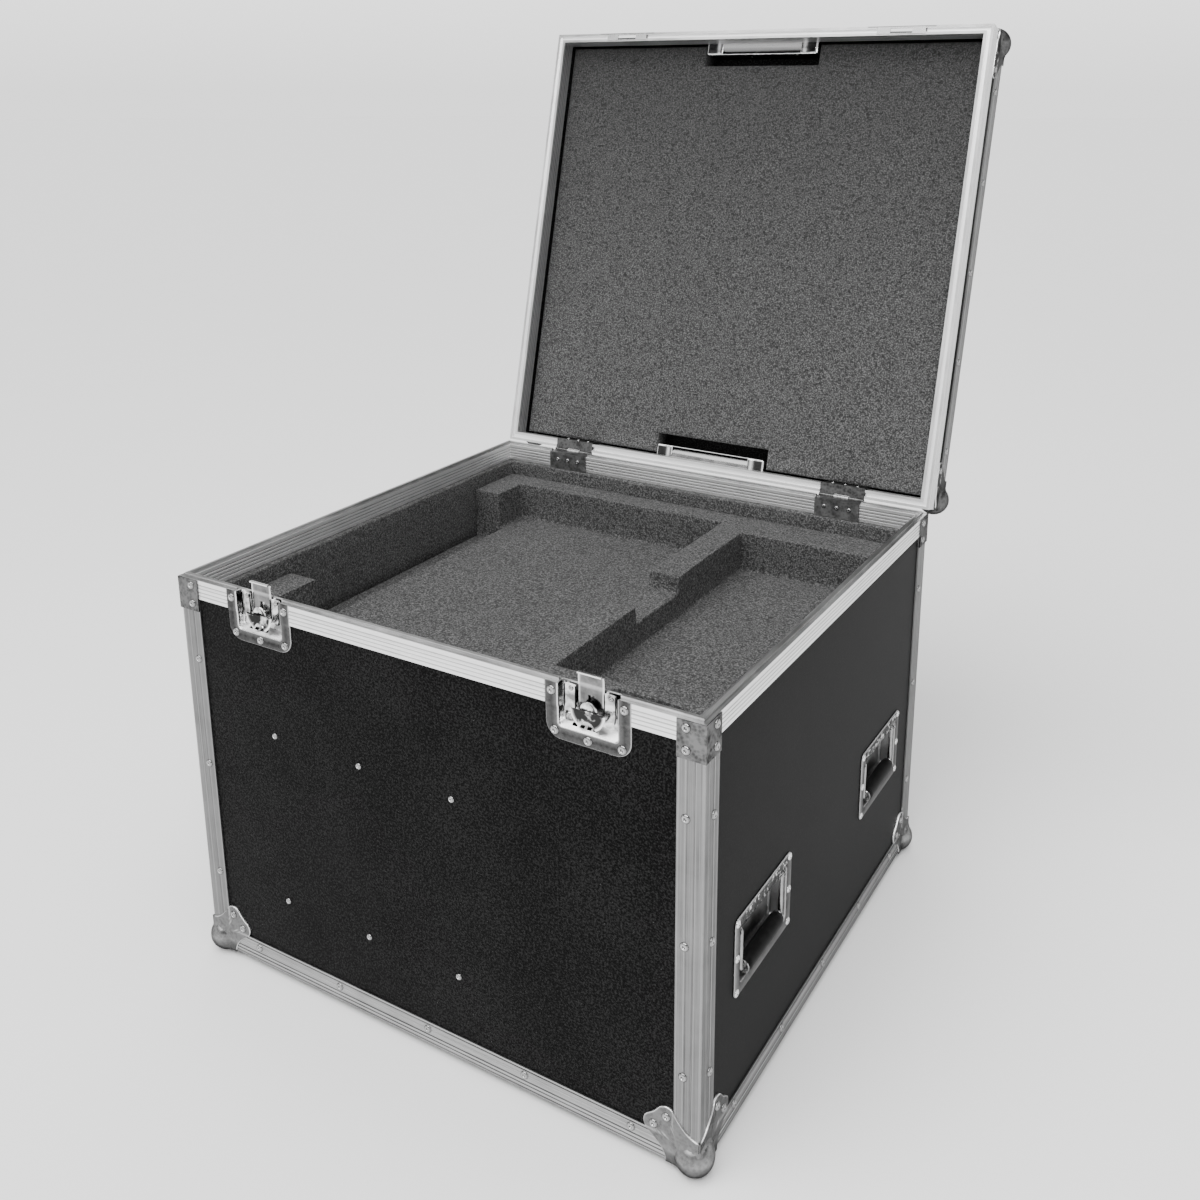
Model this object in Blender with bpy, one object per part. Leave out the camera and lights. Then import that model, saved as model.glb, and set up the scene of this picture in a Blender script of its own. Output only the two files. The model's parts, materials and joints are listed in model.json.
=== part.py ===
"""Flight case for pedals and a controller: a hinged lid, recessed latches and sprung handles.

Metres, +Z up, X to the right and Y to the back. The origin is the centre of the base panel's
underside. Every piece is modelled with the lid shut, and the lid's pivot empty then opens it.
"""

import math

import bmesh
import bpy
from mathutils import Matrix, Vector

# Fits
GAP = 0.0003
OVERRUN = 0.010

# Case
CASE_WIDTH = 0.700
CASE_DEPTH = 0.660
BODY_HEIGHT = 0.505
LID_HEIGHT = 0.069
OPEN_DEGREES = 104.4
PANEL = 0.009
BASE_REBATE = 0.0003

# Aluminium edge angles
LEG = 0.030
ANGLE_WALL = 0.0015
ARRIS = 0.0012
GROOVES = 2
GROOVE_WIDTH = 0.0016
GROOVE_DEPTH = 0.0004

# Rim extrusions
RIM_WALL = 0.0015
RIM_WEB = 0.003
OUTER_SKIRT = 0.024
INNER_SKIRT = 0.025
TONGUE_HEIGHT = 0.003
TONGUE_WIDTH = 0.004
TONGUE_SIDE_ROOM = 0.00075
TONGUE_HEADROOM = 0.0006
LID_WEB = 0.002

# Rim braces
BRACE_LEG = 0.030
BRACE_DROP = 0.040
BRACE_WALL = 0.0012

# Ball corners
BALL_RADIUS = 0.0213
BALL_INSET = 0.0107
BALL_SEGMENTS = 16
BALL_RINGS = 10
BALL_FLAT = 0.0005
SLEEVE_WALL = 0.0012
SLEEVE_LAP = 0.0015
EAR_RISE = 0.0007
EAR_NEAR = 0.038
EAR_FAR = 0.053
EAR_RADIUS = 0.012
MOUTH = 0.038
MOUTH_STEPS = 4
EAR_STEPS = 4

# Latches
LATCH_FROM_END = 0.128
LATCH_WIDTH = 0.098
LATCH_HEIGHT = 0.061
LATCH_ROUND = 0.018
LATCH_PLATE = 0.0015
LATCH_RECESS = 0.068
LATCH_SILL = 0.015
LATCH_DEPTH = 0.0108
LATCH_SKIN = 0.001
LATCH_PAN_ROUND = 0.004
RIM_LEFT_BEHIND = 0.0012
HOOK_WIDTH = 0.030
HOOK_WALL = 0.0015
HOOK_BACK = 0.0008
HOOK_LOW = 0.008
HOOK_REACH = 0.0154
HOOK_LIP = 0.0018
HOOK_NOSE = 0.0038
HOOK_TRAVEL = 0.012
HOOK_SLANT_DEGREES = 18
SPINDLE_DROP = 0.023
SPINDLE_RADIUS = 0.010
SPINDLE_FACE = 0.0019
SPINDLE_DISC = 0.0015
SHAFT_RADIUS = 0.003
SHAFT_ROOM = 0.0004
WING_RADIUS = 0.020
WING_WALL = 0.0016
WING_AXIS_INSET = 0.0005
WING_ABOVE_AXIS = 0.0007
WING_NOTCH = 0.005
WING_STEPS = 8

# Latch keepers in the lid
KEEPER_HEIGHT = 0.033
KEEPER_PAN_HEIGHT = 0.025
KEEPER_ROUND = 0.012
KEEPER_SOLE = 0.0015
KEEPER_SLOT_ROOM = 0.001
KEEPER_LIP_ROOM = 0.0006

# Side handles
HANDLE_FROM_END = 0.146
HANDLE_UP = 0.198
HANDLE_PLATE = (0.143, 0.094)
HANDLE_PLATE_ROUND = 0.008
HANDLE_PAN = (0.120, 0.072)
HANDLE_PAN_ROUND = 0.006
HANDLE_FACE = 0.0015
HANDLE_DEPTH = 0.022
HANDLE_SKIN = 0.0012
HANDLE_PIVOT_DROP = 0.010
HANDLE_PIVOT_INSET = 0.0035
HANDLE_ARM = 0.050
HANDLE_ROD = 0.003
HANDLE_BEND = 0.005
HANDLE_STUB = 0.002
HANDLE_GRIP_RADIUS = 0.009
GRIP_MARGIN = 0.004
GRIP_RIBS = 5
GRIP_RIB_DEPTH = 0.0006

# Slim handles in the lid
SLIM_PLATE = (0.175, 0.044)
SLIM_PLATE_ROUND = 0.008
SLIM_PAN = (0.150, 0.028)
SLIM_PAN_ROUND = 0.004
SLIM_PAN_LOW = 0.026
SLIM_FACE = 0.0012
SLIM_DEPTH = 0.028
SLIM_SKIN = 0.0012
SLIM_PIVOT_DROP = 0.0075
SLIM_PIVOT_INSET = 0.010
SLIM_ARM = 0.0135
SLIM_ROD = 0.0025
SLIM_BEND = 0.004
SLIM_STUB = 0.002
SLIM_GRIP_RADIUS = 0.0050

# Hinges
HINGE_FROM_END = 0.125
HINGE_WIDTH = 0.066
HINGE_LEAF = 0.0015
HINGE_DROP = 0.031
HINGE_AXIS_OUT = 0.0033
KNUCKLE_RADIUS = 0.003
KNUCKLE_MIDDLE = 0.022
KNUCKLE_GAP = 0.0005
PIN_RADIUS = 0.0012

# Divider frame under the deck
DECK_DROP = 0.1547
DECK_THICKNESS = 0.009
DIVIDER_THICKNESS = 0.009
DIVIDERS_FROM_LEFT = (0.137, 0.2665, 0.3975)

# Foam, with the pockets' corners as shares of the case's width and depth from its middle
BED_DROP = 0.045
LINING_THICKNESS = 0.010
CONTROLLER_SHARES = ((-0.4057, -0.4212), (0.1, 0.4091))
PEDAL_SHARES = ((0.16, -0.3379), (0.4414, 0.3742))
COMPACT_SHARES = ((0.28, -0.4485), (0.4086, -0.3576))
HAND_GAP_SHARES = (-0.2697, 0.3212)
FINGER_STEP_SHARES = (-0.0758, 0.0909)
POCKET_ROUND = 0.004
CONTROLLER_SINK = 0.055
PEDAL_SINK = 0.055
COMPACT_SINK = 0.040
HAND_GAP_SINK = 0.075
FINGER_STEP_SINK = 0.022
LID_FOAM_DROP = 0.027
LID_FOAM_ROOM = 0.0045
LID_FOAM_CUTOUT = (0.187, 0.030)

# Places that follow from the sizes above
ROUND_STEPS = 3
TURN_SIDES = 14
ROD_STEPS = 2
SMOOTH_DEGREES = 35
SKIN = max(ANGLE_WALL, RIM_WALL) + GAP
WALL_BACK = SKIN + PANEL
RIM_WIDTH = WALL_BACK + GAP + RIM_WALL
CASE_BOTTOM = -(ANGLE_WALL + GAP)
RIM_UP = CASE_BOTTOM + BODY_HEIGHT
LID_UP = RIM_UP + GAP
LID_TOP = LID_UP + LID_HEIGHT
GROOVE_HEIGHT = TONGUE_HEIGHT + TONGUE_HEADROOM
LID_SEAT = LID_UP + GROOVE_HEIGHT + LID_WEB + GAP
LID_ROOF = LID_TOP - ANGLE_WALL - GAP
TONGUE_INSET = (RIM_WIDTH - TONGUE_WIDTH) / 2
SPINDLE_UP = RIM_UP - SPINDLE_DROP
HINGE_UP = RIM_UP + GAP / 2
DECK_TOP = RIM_UP - DECK_DROP
LATCH_CENTRES = {"left": LATCH_FROM_END - CASE_WIDTH / 2, "right": CASE_WIDTH / 2 - LATCH_FROM_END}
HINGE_CENTRES = {"left": HINGE_FROM_END - CASE_WIDTH / 2, "right": CASE_WIDTH / 2 - HINGE_FROM_END}
HANDLE_CENTRES = {"front": HANDLE_FROM_END - CASE_DEPTH / 2, "back": CASE_DEPTH / 2 - HANDLE_FROM_END}
FAR = CASE_WIDTH + CASE_DEPTH

STEEL = ((0.62, 0.63, 0.64), 0.30, 1.0)
ZINC = ((0.42, 0.43, 0.44), 0.42, 1.0)
ALUMINIUM = ((0.72, 0.72, 0.71), 0.35, 1.0)
LAMINATE = ((0.020, 0.021, 0.022), 0.55, 0.0)
FOAM = ((0.12, 0.12, 0.12), 0.95, 0.0)
RUBBER = ((0.015, 0.015, 0.015), 0.60, 0.0)
WOOD = ((0.42, 0.31, 0.19), 0.65, 0.0)


class Wall:
    """One upright side of the case, with places on it given as along, inset from its face, and up."""

    def __init__(self, normal, along, half):
        self.normal = Vector(normal)
        self.along = Vector(along)
        self.half = half

    def point(self, along, inset, up):
        return self.normal * (self.half - inset) + self.along * along + Vector((0, 0, up))


FRONT = Wall((0, -1, 0), (1, 0, 0), CASE_DEPTH / 2)
BACK = Wall((0, 1, 0), (1, 0, 0), CASE_DEPTH / 2)
LEFT = Wall((-1, 0, 0), (0, 1, 0), CASE_WIDTH / 2)
RIGHT = Wall((1, 0, 0), (0, 1, 0), CASE_WIDTH / 2)
CORNERS = (("front_left", -1, -1), ("front_right", 1, -1), ("back_right", 1, 1), ("back_left", -1, 1))


def clear_scene():
    for old in list(bpy.data.objects):
        bpy.data.objects.remove(old)


def new_collection(name):
    collection = bpy.data.collections.new(name)
    bpy.context.scene.collection.children.link(collection)
    return collection


def new_material(name, finish):
    colour, roughness, metallic = finish
    material = bpy.data.materials.new(name)
    material.use_nodes = True
    shader = material.node_tree.nodes["Principled BSDF"]
    shader.inputs["Base Color"].default_value = (*colour, 1)
    shader.inputs["Roughness"].default_value = roughness
    shader.inputs["Metallic"].default_value = metallic
    return material


def adopt(child, pivot):
    """Parents a piece to a pivot without moving it, while every pivot is still unturned."""
    if pivot:
        child.parent = pivot
        child.matrix_parent_inverse = Matrix.Translation(-pivot.location)


def new_pivot(name, place, pivot=None):
    empty = bpy.data.objects.new(name, None)
    empty.location = place
    PIECES.objects.link(empty)
    adopt(empty, pivot)
    return empty


def piece(name, shape, finish, pivot=None):
    """A named sub-part from a bmesh."""
    mesh = bpy.data.meshes.new(name)
    shape.to_mesh(mesh)
    shape.free()
    mesh.shade_smooth()
    mesh.set_sharp_from_angle(angle=math.radians(SMOOTH_DEGREES))
    mesh.materials.append(new_material(name, finish))
    made = bpy.data.objects.new(name, mesh)
    PIECES.objects.link(made)
    adopt(made, pivot)
    return made


def helper(target, operation, shape):
    """A Boolean of a helper solid on a piece."""
    name = f"{target.name}_{operation.lower()}_{len(target.modifiers)}"
    mesh = bpy.data.meshes.new(name)
    shape.to_mesh(mesh)
    shape.free()
    made = bpy.data.objects.new(name, mesh)
    made.hide_render = True
    made.display_type = "WIRE"
    HELPERS.objects.link(made)
    adopt(made, target.parent)
    modifier = target.modifiers.new(name, "BOOLEAN")
    modifier.operation = operation
    modifier.solver = "EXACT"
    modifier.object = made


def cut(target, shape):
    helper(target, "DIFFERENCE", shape)


def fuse(target, shape):
    helper(target, "UNION", shape)


def block(low, high):
    """A box between two opposite corners."""
    (x, y, low), (far_x, far_y, high) = low, high
    loops = []
    for up in (low, high):
        loops.append([Vector((a, b, up)) for a, b in ((x, y), (far_x, y), (far_x, far_y), (x, far_y))])
    return loft(loops)


def wall_block(wall, along, inset, up):
    """A box on a wall, from pairs of limits."""
    return block(wall.point(along[0], inset[0], up[0]), wall.point(along[1], inset[1], up[1]))


def loft(loops, closed=False):
    """Strips of faces between loops of equally many points, with both ends filled or joined."""
    shape = bmesh.new()
    rings = [[shape.verts.new(point) for point in loop] for loop in loops]
    pairs = list(zip(rings, rings[1:]))
    if closed:
        pairs.append((rings[-1], rings[0]))
    for near, far in pairs:
        for i, vertex in enumerate(near):
            shape.faces.new((near[i - 1], vertex, far[i], far[i - 1]))
    if not closed:
        shape.faces.new(rings[0])
        shape.faces.new(rings[-1])
    bmesh.ops.recalc_face_normals(shape, faces=shape.faces)
    return shape


def prism(outline, low, high, place):
    """A flat outline carried from one level to another by place(first, second, level)."""
    return loft([[place(first, second, level) for first, second in outline] for level in (low, high)])


def arc(centre, radius, start, end, steps):
    """Points round part of a circle, both ends among them."""
    angles = [math.radians(start + (end - start) * step / steps) for step in range(steps + 1)]
    return [(centre[0] + radius * math.cos(a), centre[1] + radius * math.sin(a)) for a in angles]


def rounded(low, high, radius):
    """A rectangle's outline with rounded corners, anticlockwise from the low corner."""
    centres = (
        (low[0] + radius, low[1] + radius, 180),
        (high[0] - radius, low[1] + radius, 270),
        (high[0] - radius, high[1] - radius, 360),
        (low[0] + radius, high[1] - radius, 450),
    )
    outline = []
    for first, second, start in centres:
        outline += arc((first, second), radius, start, start + 90, ROUND_STEPS)
    return outline


def grooved(start, end, inwards):
    """The start of a straight face and the shallow grooves along it, up to but without its end."""
    start, end, inwards = Vector(start), Vector(end), Vector(inwards)
    along = (end - start).normalized()
    points = [start]
    for number in range(GROOVES):
        centre = start.lerp(end, (number + 1) / (GROOVES + 1))
        points.append(centre - along * (GROOVE_WIDTH / 2))
        points.append(centre + inwards * GROOVE_DEPTH)
        points.append(centre + along * (GROOVE_WIDTH / 2))
    return [tuple(point) for point in points]


def angle_outline():
    """The L section of an edge angle: grooved faces, a rounded arris and two legs."""
    outline = grooved((LEG, 0), (ARRIS, 0), (0, 1))
    outline += arc((ARRIS, ARRIS), ARRIS, 270, 180, ROUND_STEPS)
    outline += grooved((0, ARRIS), (0, LEG), (1, 0))[1:]
    outline += [(0, LEG), (ANGLE_WALL, LEG), (ANGLE_WALL, ANGLE_WALL), (LEG, ANGLE_WALL)]
    return outline


def corner_point(right, back, inset_x, inset_y, up):
    """A place measured inwards from one upright edge of the case."""
    return Vector((right * (CASE_WIDTH / 2 - inset_x), back * (CASE_DEPTH / 2 - inset_y), up))


def ring(profile, level, sense=1):
    """A section of (inset, height) points carried round the case's four mitred corners."""
    loops = []
    for _, right, back in CORNERS:
        loops.append([corner_point(right, back, s, s, level + sense * h) for s, h in profile])
    return loft(loops, closed=True)


def mitred_bar(profile, level, start, end):
    """A section carried along one side of the case, mitred at both ends."""
    loops = []
    for corner, other in ((start, end), (end, start)):
        run = Vector((other[0] - corner[0], other[1] - corner[1], 0)).normalized() * (GAP / 2)
        loops.append([corner_point(*corner, s, s, level + h) + run for s, h in profile])
    return loft(loops)


def pressed_dish(wall, plate, pan, rounds, front, thickness, depth, skin):
    """A sheet-metal pan with a flange: inner floor, mouth, flange, and the pan's outside."""
    (plate_low, plate_high), (pan_low, pan_high) = plate, pan
    plate_round, pan_round = rounds
    inner_low = (pan_low[0] + skin, pan_low[1] + skin)
    inner_high = (pan_high[0] - skin, pan_high[1] - skin)
    inner = rounded(inner_low, inner_high, pan_round - skin)
    outer = rounded(pan_low, pan_high, pan_round)
    flange = rounded(plate_low, plate_high, plate_round)
    sections = (
        (inner, depth - skin),
        (inner, front),
        (flange, front),
        (flange, front + thickness),
        (outer, front + thickness),
        (outer, depth),
    )
    return loft([[wall.point(a, inset, up) for a, up in outline] for outline, inset in sections])


def turned(wall, inset, up, profile, sides=TURN_SIDES):
    """A shape turned about an axis along the wall, from (along, radius) pairs."""
    loops = []
    for along, radius in profile:
        circle = arc((inset, up), radius, 0, 360, sides)[:-1]
        loops.append([wall.point(along, s, z) for s, z in circle])
    return loft(loops)


def spun(wall, along, up, profile, sides=TURN_SIDES):
    """A shape turned about an axis square to the wall, from (inset, radius) pairs."""
    loops = []
    for inset, radius in profile:
        circle = arc((along, up), radius, 0, 360, sides)[:-1]
        loops.append([wall.point(a, inset, z) for a, z in circle])
    return loft(loops)


def bent(points, radius):
    """A path with each inner corner replaced by a short curve."""
    path = [points[0]]
    for before, corner, after in zip(points, points[1:], points[2:]):
        start = corner + (before - corner).normalized() * radius
        end = corner + (after - corner).normalized() * radius
        for step in range(ROUND_STEPS + 1):
            share = step / ROUND_STEPS
            path.append(start.lerp(corner, share).lerp(corner.lerp(end, share), share))
    return path + [points[-1]]


def rod(points, radius):
    """A round bar along a path, made as a curve and then a mesh with welded caps."""
    curve = bpy.data.curves.new("rod", "CURVE")
    curve.dimensions = "3D"
    curve.bevel_depth = radius
    curve.bevel_resolution = ROD_STEPS
    curve.use_fill_caps = True
    spline = curve.splines.new("POLY")
    spline.points.add(len(points) - 1)
    for target, point in zip(spline.points, points):
        target.co = (*point, 1)
    guide = bpy.data.objects.new("rod", curve)
    HELPERS.objects.link(guide)
    bpy.context.view_layer.update()
    mesh = bpy.data.meshes.new_from_object(guide.evaluated_get(bpy.context.evaluated_depsgraph_get()))
    shape = bmesh.new()
    shape.from_mesh(mesh)
    bmesh.ops.remove_doubles(shape, verts=shape.verts, dist=GAP / 10)
    bmesh.ops.recalc_face_normals(shape, faces=shape.faces)
    bpy.data.objects.remove(guide)
    bpy.data.curves.remove(curve)
    bpy.data.meshes.remove(mesh)
    return shape


def build_panels():
    top = RIM_UP - RIM_WEB - GAP
    across = CASE_WIDTH / 2 - WALL_BACK - GAP
    for name, wall, reach in (
        ("left_panel", LEFT, CASE_DEPTH / 2 - SKIN),
        ("right_panel", RIGHT, CASE_DEPTH / 2 - SKIN),
        ("front_panel", FRONT, across),
        ("back_panel", BACK, across),
    ):
        panel = piece(name, wall_block(wall, (-reach, reach), (SKIN, WALL_BACK), (0, top)), LAMINATE)
        if wall is FRONT:
            for centre in LATCH_CENTRES.values():
                cut(panel, latch_opening(centre, top + OVERRUN))
        if wall in (LEFT, RIGHT):
            for centre in HANDLE_CENTRES.values():
                cut(panel, handle_opening(wall, centre))
    back = CASE_DEPTH / 2 - WALL_BACK - GAP
    base = piece("base_panel", block((-across, -back, BASE_REBATE), (across, back, PANEL)), LAMINATE)
    fuse(base, prism(sole_outline(), 0, PANEL / 2, lambda x, y, z: Vector((x, y, z))))


def sole_outline():
    """The part of the base board's underside between the trims and the ball corners' ears."""
    root = LEG + GAP
    across_ears = EAR_FAR + EAR_NEAR + EAR_RADIUS * math.sqrt(2) + 2 * GAP
    outline = []
    for number, (_, right, back) in enumerate(CORNERS):
        ends = [(across_ears - root, root), (root, across_ears - root)]
        for inset_x, inset_y in ends if number % 2 else reversed(ends):
            outline.append((right * (CASE_WIDTH / 2 - inset_x), back * (CASE_DEPTH / 2 - inset_y)))
    return outline


def latch_opening(centre, top):
    """The notch that a latch's pan hangs in."""
    half = LATCH_RECESS / 2 + LATCH_SKIN + GAP
    low = RIM_UP - LATCH_HEIGHT + LATCH_SILL - LATCH_SKIN - GAP
    return wall_block(FRONT, (centre - half, centre + half), (-OVERRUN, WALL_BACK + OVERRUN), (low, top))


def handle_opening(wall, centre):
    half_width, half_height = HANDLE_PAN[0] / 2 + GAP, HANDLE_PAN[1] / 2 + GAP
    along = (centre - half_width, centre + half_width)
    up = (HANDLE_UP - half_height, HANDLE_UP + half_height)
    return wall_block(wall, along, (-OVERRUN, WALL_BACK + OVERRUN), up)


def build_edges():
    section = angle_outline()
    low = CASE_BOTTOM + LEG + GAP
    high = RIM_UP - OUTER_SKIRT - GAP
    for number, (corner, right, back) in enumerate(CORNERS):
        def upright(first, second, level, right=right, back=back):
            return corner_point(right, back, first, second, level)

        piece(f"post_angle_{corner}", prism(section, low, high, upright), ALUMINIUM)
        brace = [
            (-GAP - BRACE_WALL, -GAP - BRACE_WALL), (BRACE_LEG, -GAP - BRACE_WALL), (BRACE_LEG, -GAP),
            (-GAP, -GAP), (-GAP, BRACE_LEG), (-GAP - BRACE_WALL, BRACE_LEG),
        ]
        piece(f"rim_brace_{corner}", prism(brace, RIM_UP - BRACE_DROP, RIM_UP - GAP, upright), ZINC)
        ahead = CORNERS[(number + 1) % len(CORNERS)]
        side = ("front", "right", "back", "left")[number]
        bar = mitred_bar(section, CASE_BOTTOM, (right, back), ahead[1:])
        piece(f"base_angle_{side}", bar, ALUMINIUM)


def rim_section():
    """The body's rim extrusion: two skirts, a web and the tongue."""
    outline = grooved((0, -OUTER_SKIRT), (0, 0), (1, 0)) + [(0, 0)]
    outline += [(TONGUE_INSET, 0), (TONGUE_INSET, TONGUE_HEIGHT)]
    outline += [(TONGUE_INSET + TONGUE_WIDTH, TONGUE_HEIGHT), (TONGUE_INSET + TONGUE_WIDTH, 0)]
    outline += [(RIM_WIDTH, 0), (RIM_WIDTH, -INNER_SKIRT), (RIM_WIDTH - RIM_WALL, -INNER_SKIRT)]
    outline += [(RIM_WIDTH - RIM_WALL, -RIM_WEB), (RIM_WALL, -RIM_WEB), (RIM_WALL, -OUTER_SKIRT)]
    return outline


def lid_rim_section():
    """The lid's rim extrusion: two skirts and a web with the groove over the tongue."""
    near = TONGUE_INSET - TONGUE_SIDE_ROOM
    far = TONGUE_INSET + TONGUE_WIDTH + TONGUE_SIDE_ROOM
    crown = GROOVE_HEIGHT + LID_WEB
    outline = grooved((0, OUTER_SKIRT), (0, 0), (1, 0)) + [(0, 0)]
    outline += [(near, 0), (near, GROOVE_HEIGHT), (far, GROOVE_HEIGHT), (far, 0), (RIM_WIDTH, 0)]
    outline += [(RIM_WIDTH, INNER_SKIRT), (RIM_WIDTH - RIM_WALL, INNER_SKIRT)]
    outline += [(RIM_WIDTH - RIM_WALL, crown), (RIM_WALL, crown), (RIM_WALL, OUTER_SKIRT)]
    return outline


def build_body_rim():
    rim = piece("body_rim", ring(rim_section(), RIM_UP), ALUMINIUM)
    low, high = RIM_UP - INNER_SKIRT - OVERRUN, RIM_UP + TONGUE_HEIGHT + OVERRUN
    for centre in LATCH_CENTRES.values():
        cut_for_latch(rim, centre, low, high)
    for centre in HINGE_CENTRES.values():
        half = HINGE_WIDTH / 2 + GAP
        notch = (RIM_UP - HINGE_LEAF - GAP, high)
        inset = (-OVERRUN, RIM_WIDTH + OVERRUN)
        cut(rim, wall_block(BACK, (centre - half, centre + half), inset, notch))


def cut_for_latch(rim, centre, low, high):
    """Takes the outer skirt away behind a latch's flange, and the web in front of its pan."""
    flange = LATCH_WIDTH / 2 + GAP
    pan = LATCH_RECESS / 2 + LATCH_SKIN + GAP
    deep = RIM_WIDTH - RIM_LEFT_BEHIND
    cut(rim, wall_block(FRONT, (centre - flange, centre + flange), (-OVERRUN, SKIN), (low, high)))
    cut(rim, wall_block(FRONT, (centre - pan, centre + pan), (-OVERRUN, deep), (low, high)))


def ear_outline():
    """Two lobes beyond the trims, joined by a slanting edge."""
    root = LEG + GAP
    dip = math.degrees(math.asin((EAR_NEAR - root) / EAR_RADIUS))
    lower = arc((EAR_FAR, EAR_NEAR), EAR_RADIUS, -dip, 45, EAR_STEPS)
    return [(root, root)] + lower + [(q, p) for p, q in reversed(lower)]


def sleeve_outline():
    """The sleeve over both trims, with a mouth that curves back from the arris to the ears."""
    reach = ear_outline()[1][0]
    root = LEG + GAP
    low = -GAP - SLEEVE_WALL
    mouth = [(MOUTH, low)]
    for step in range(MOUTH_STEPS + 1):
        share = step / MOUTH_STEPS
        mouth.append((MOUTH + (reach - MOUTH) * share**2, root * share))
    mouth.append((reach, root + SLEEVE_LAP))
    inner = root + SLEEVE_LAP
    return [(low, low)] + mouth + [(inner, inner)] + [(q, p) for p, q in reversed(mouth)]


def ball_corner_mesh(name, height=None):
    """One pressed ball corner at the origin, the case lying on its positive sides, as a mesh."""
    shape = bmesh.new()
    centre = Matrix.Translation((BALL_INSET, BALL_INSET, BALL_INSET))
    bmesh.ops.create_uvsphere(
        shape, u_segments=BALL_SEGMENTS, v_segments=BALL_RINGS, radius=BALL_RADIUS, matrix=centre
    )
    ball = piece(name, shape, ZINC)
    seats = (SKIN, SKIN, ANGLE_WALL + GAP)
    turns = (
        lambda p, q, level: Vector((level, p, q)),
        lambda p, q, level: Vector((p, level, q)),
        lambda p, q, level: Vector((p, q, level)),
    )
    cut(ball, block((-GAP, -GAP, -GAP), (FAR, FAR, FAR)))
    for seat, turn in zip(seats, turns):
        fuse(ball, prism(sleeve_outline(), -GAP - SLEEVE_WALL, -GAP, turn))
        fuse(ball, prism(ear_outline(), -EAR_RISE, seat - GAP, turn))
    if height:
        cut(ball, block((-FAR, -FAR, height), (FAR, FAR, FAR)))
    sole = BALL_INSET - BALL_RADIUS + BALL_FLAT
    cut(ball, block((-FAR, -FAR, -FAR), (FAR, FAR, sole)))
    bpy.context.view_layer.update()
    ready = ball.evaluated_get(bpy.context.evaluated_depsgraph_get())
    mesh = bpy.data.meshes.new_from_object(ready)
    for modifier in list(ball.modifiers):
        bpy.data.objects.remove(modifier.object)
    bpy.data.objects.remove(ball)
    return mesh


def build_ball_corners(prefix, level, sense, height, pivot):
    """Four mirrored copies of a ball corner at one level of the case."""
    pattern = ball_corner_mesh(prefix, height)
    for corner, right, back in CORNERS:
        shape = bmesh.new()
        shape.from_mesh(pattern)
        mirror = Matrix.Diagonal((-right, -back, sense, 1))
        place = Matrix.Translation(corner_point(right, back, 0, 0, level))
        bmesh.ops.transform(shape, matrix=place @ mirror, verts=shape.verts)
        bmesh.ops.recalc_face_normals(shape, faces=shape.faces)
        piece(f"{prefix}_{corner}", shape, ZINC, pivot)
    bpy.data.meshes.remove(pattern)


def build_latch(side, centre):
    """Dish, hook, spindle and wing of one recessed butterfly latch."""
    face = SKIN - GAP - LATCH_PLATE
    half, recess = LATCH_WIDTH / 2, LATCH_RECESS / 2 + LATCH_SKIN
    low, top = RIM_UP - LATCH_HEIGHT, RIM_UP + 2 * LATCH_ROUND
    dish = piece(
        f"latch_{side}_dish",
        pressed_dish(
            FRONT,
            ((centre - half, low), (centre + half, top)),
            ((centre - recess, low + LATCH_SILL - LATCH_SKIN), (centre + recess, top - GAP)),
            (LATCH_ROUND, LATCH_PAN_ROUND),
            face, LATCH_PLATE, LATCH_DEPTH, LATCH_SKIN,
        ),
        ZINC,
    )
    reach = half + OVERRUN
    above = (RIM_UP - GAP, top + OVERRUN)
    cut(dish, wall_block(FRONT, (centre - reach, centre + reach), (-OVERRUN, LATCH_DEPTH + OVERRUN), above))

    turn = new_pivot(f"latch_{side}_turn", FRONT.point(centre, SPINDLE_FACE, SPINDLE_UP))
    back = SPINDLE_FACE + SPINDLE_DISC
    floor = LATCH_DEPTH - LATCH_SKIN
    profile = [(SPINDLE_FACE, SPINDLE_RADIUS), (back, SPINDLE_RADIUS), (back, SHAFT_RADIUS)]
    profile.append((floor - GAP, SHAFT_RADIUS))
    piece(f"latch_{side}_spindle", spun(FRONT, centre, SPINDLE_UP, profile), STEEL, turn)

    fold = new_pivot(f"latch_{side}_fold", FRONT.point(centre, WING_AXIS_INSET, SPINDLE_UP), turn)
    wing = piece(f"latch_{side}_wing", wing_shape(centre), STEEL, fold)
    notch = spun(
        FRONT, centre, SPINDLE_UP - WING_RADIUS, [(-OVERRUN, WING_NOTCH), (OVERRUN, WING_NOTCH)]
    )
    cut(wing, notch)

    build_hook(side, centre, floor)


def wing_shape(centre):
    """A half disc that hangs from the fold axis over the spindle."""
    outline = arc((centre, SPINDLE_UP), WING_RADIUS, 180, 360, WING_STEPS)
    up = SPINDLE_UP + WING_ABOVE_AXIS
    outline += [(centre + WING_RADIUS, up), (centre - WING_RADIUS, up)]
    half = WING_WALL / 2
    return prism(
        outline, WING_AXIS_INSET - half, WING_AXIS_INSET + half,
        lambda along, z, inset: FRONT.point(along, inset, z),
    )


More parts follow.
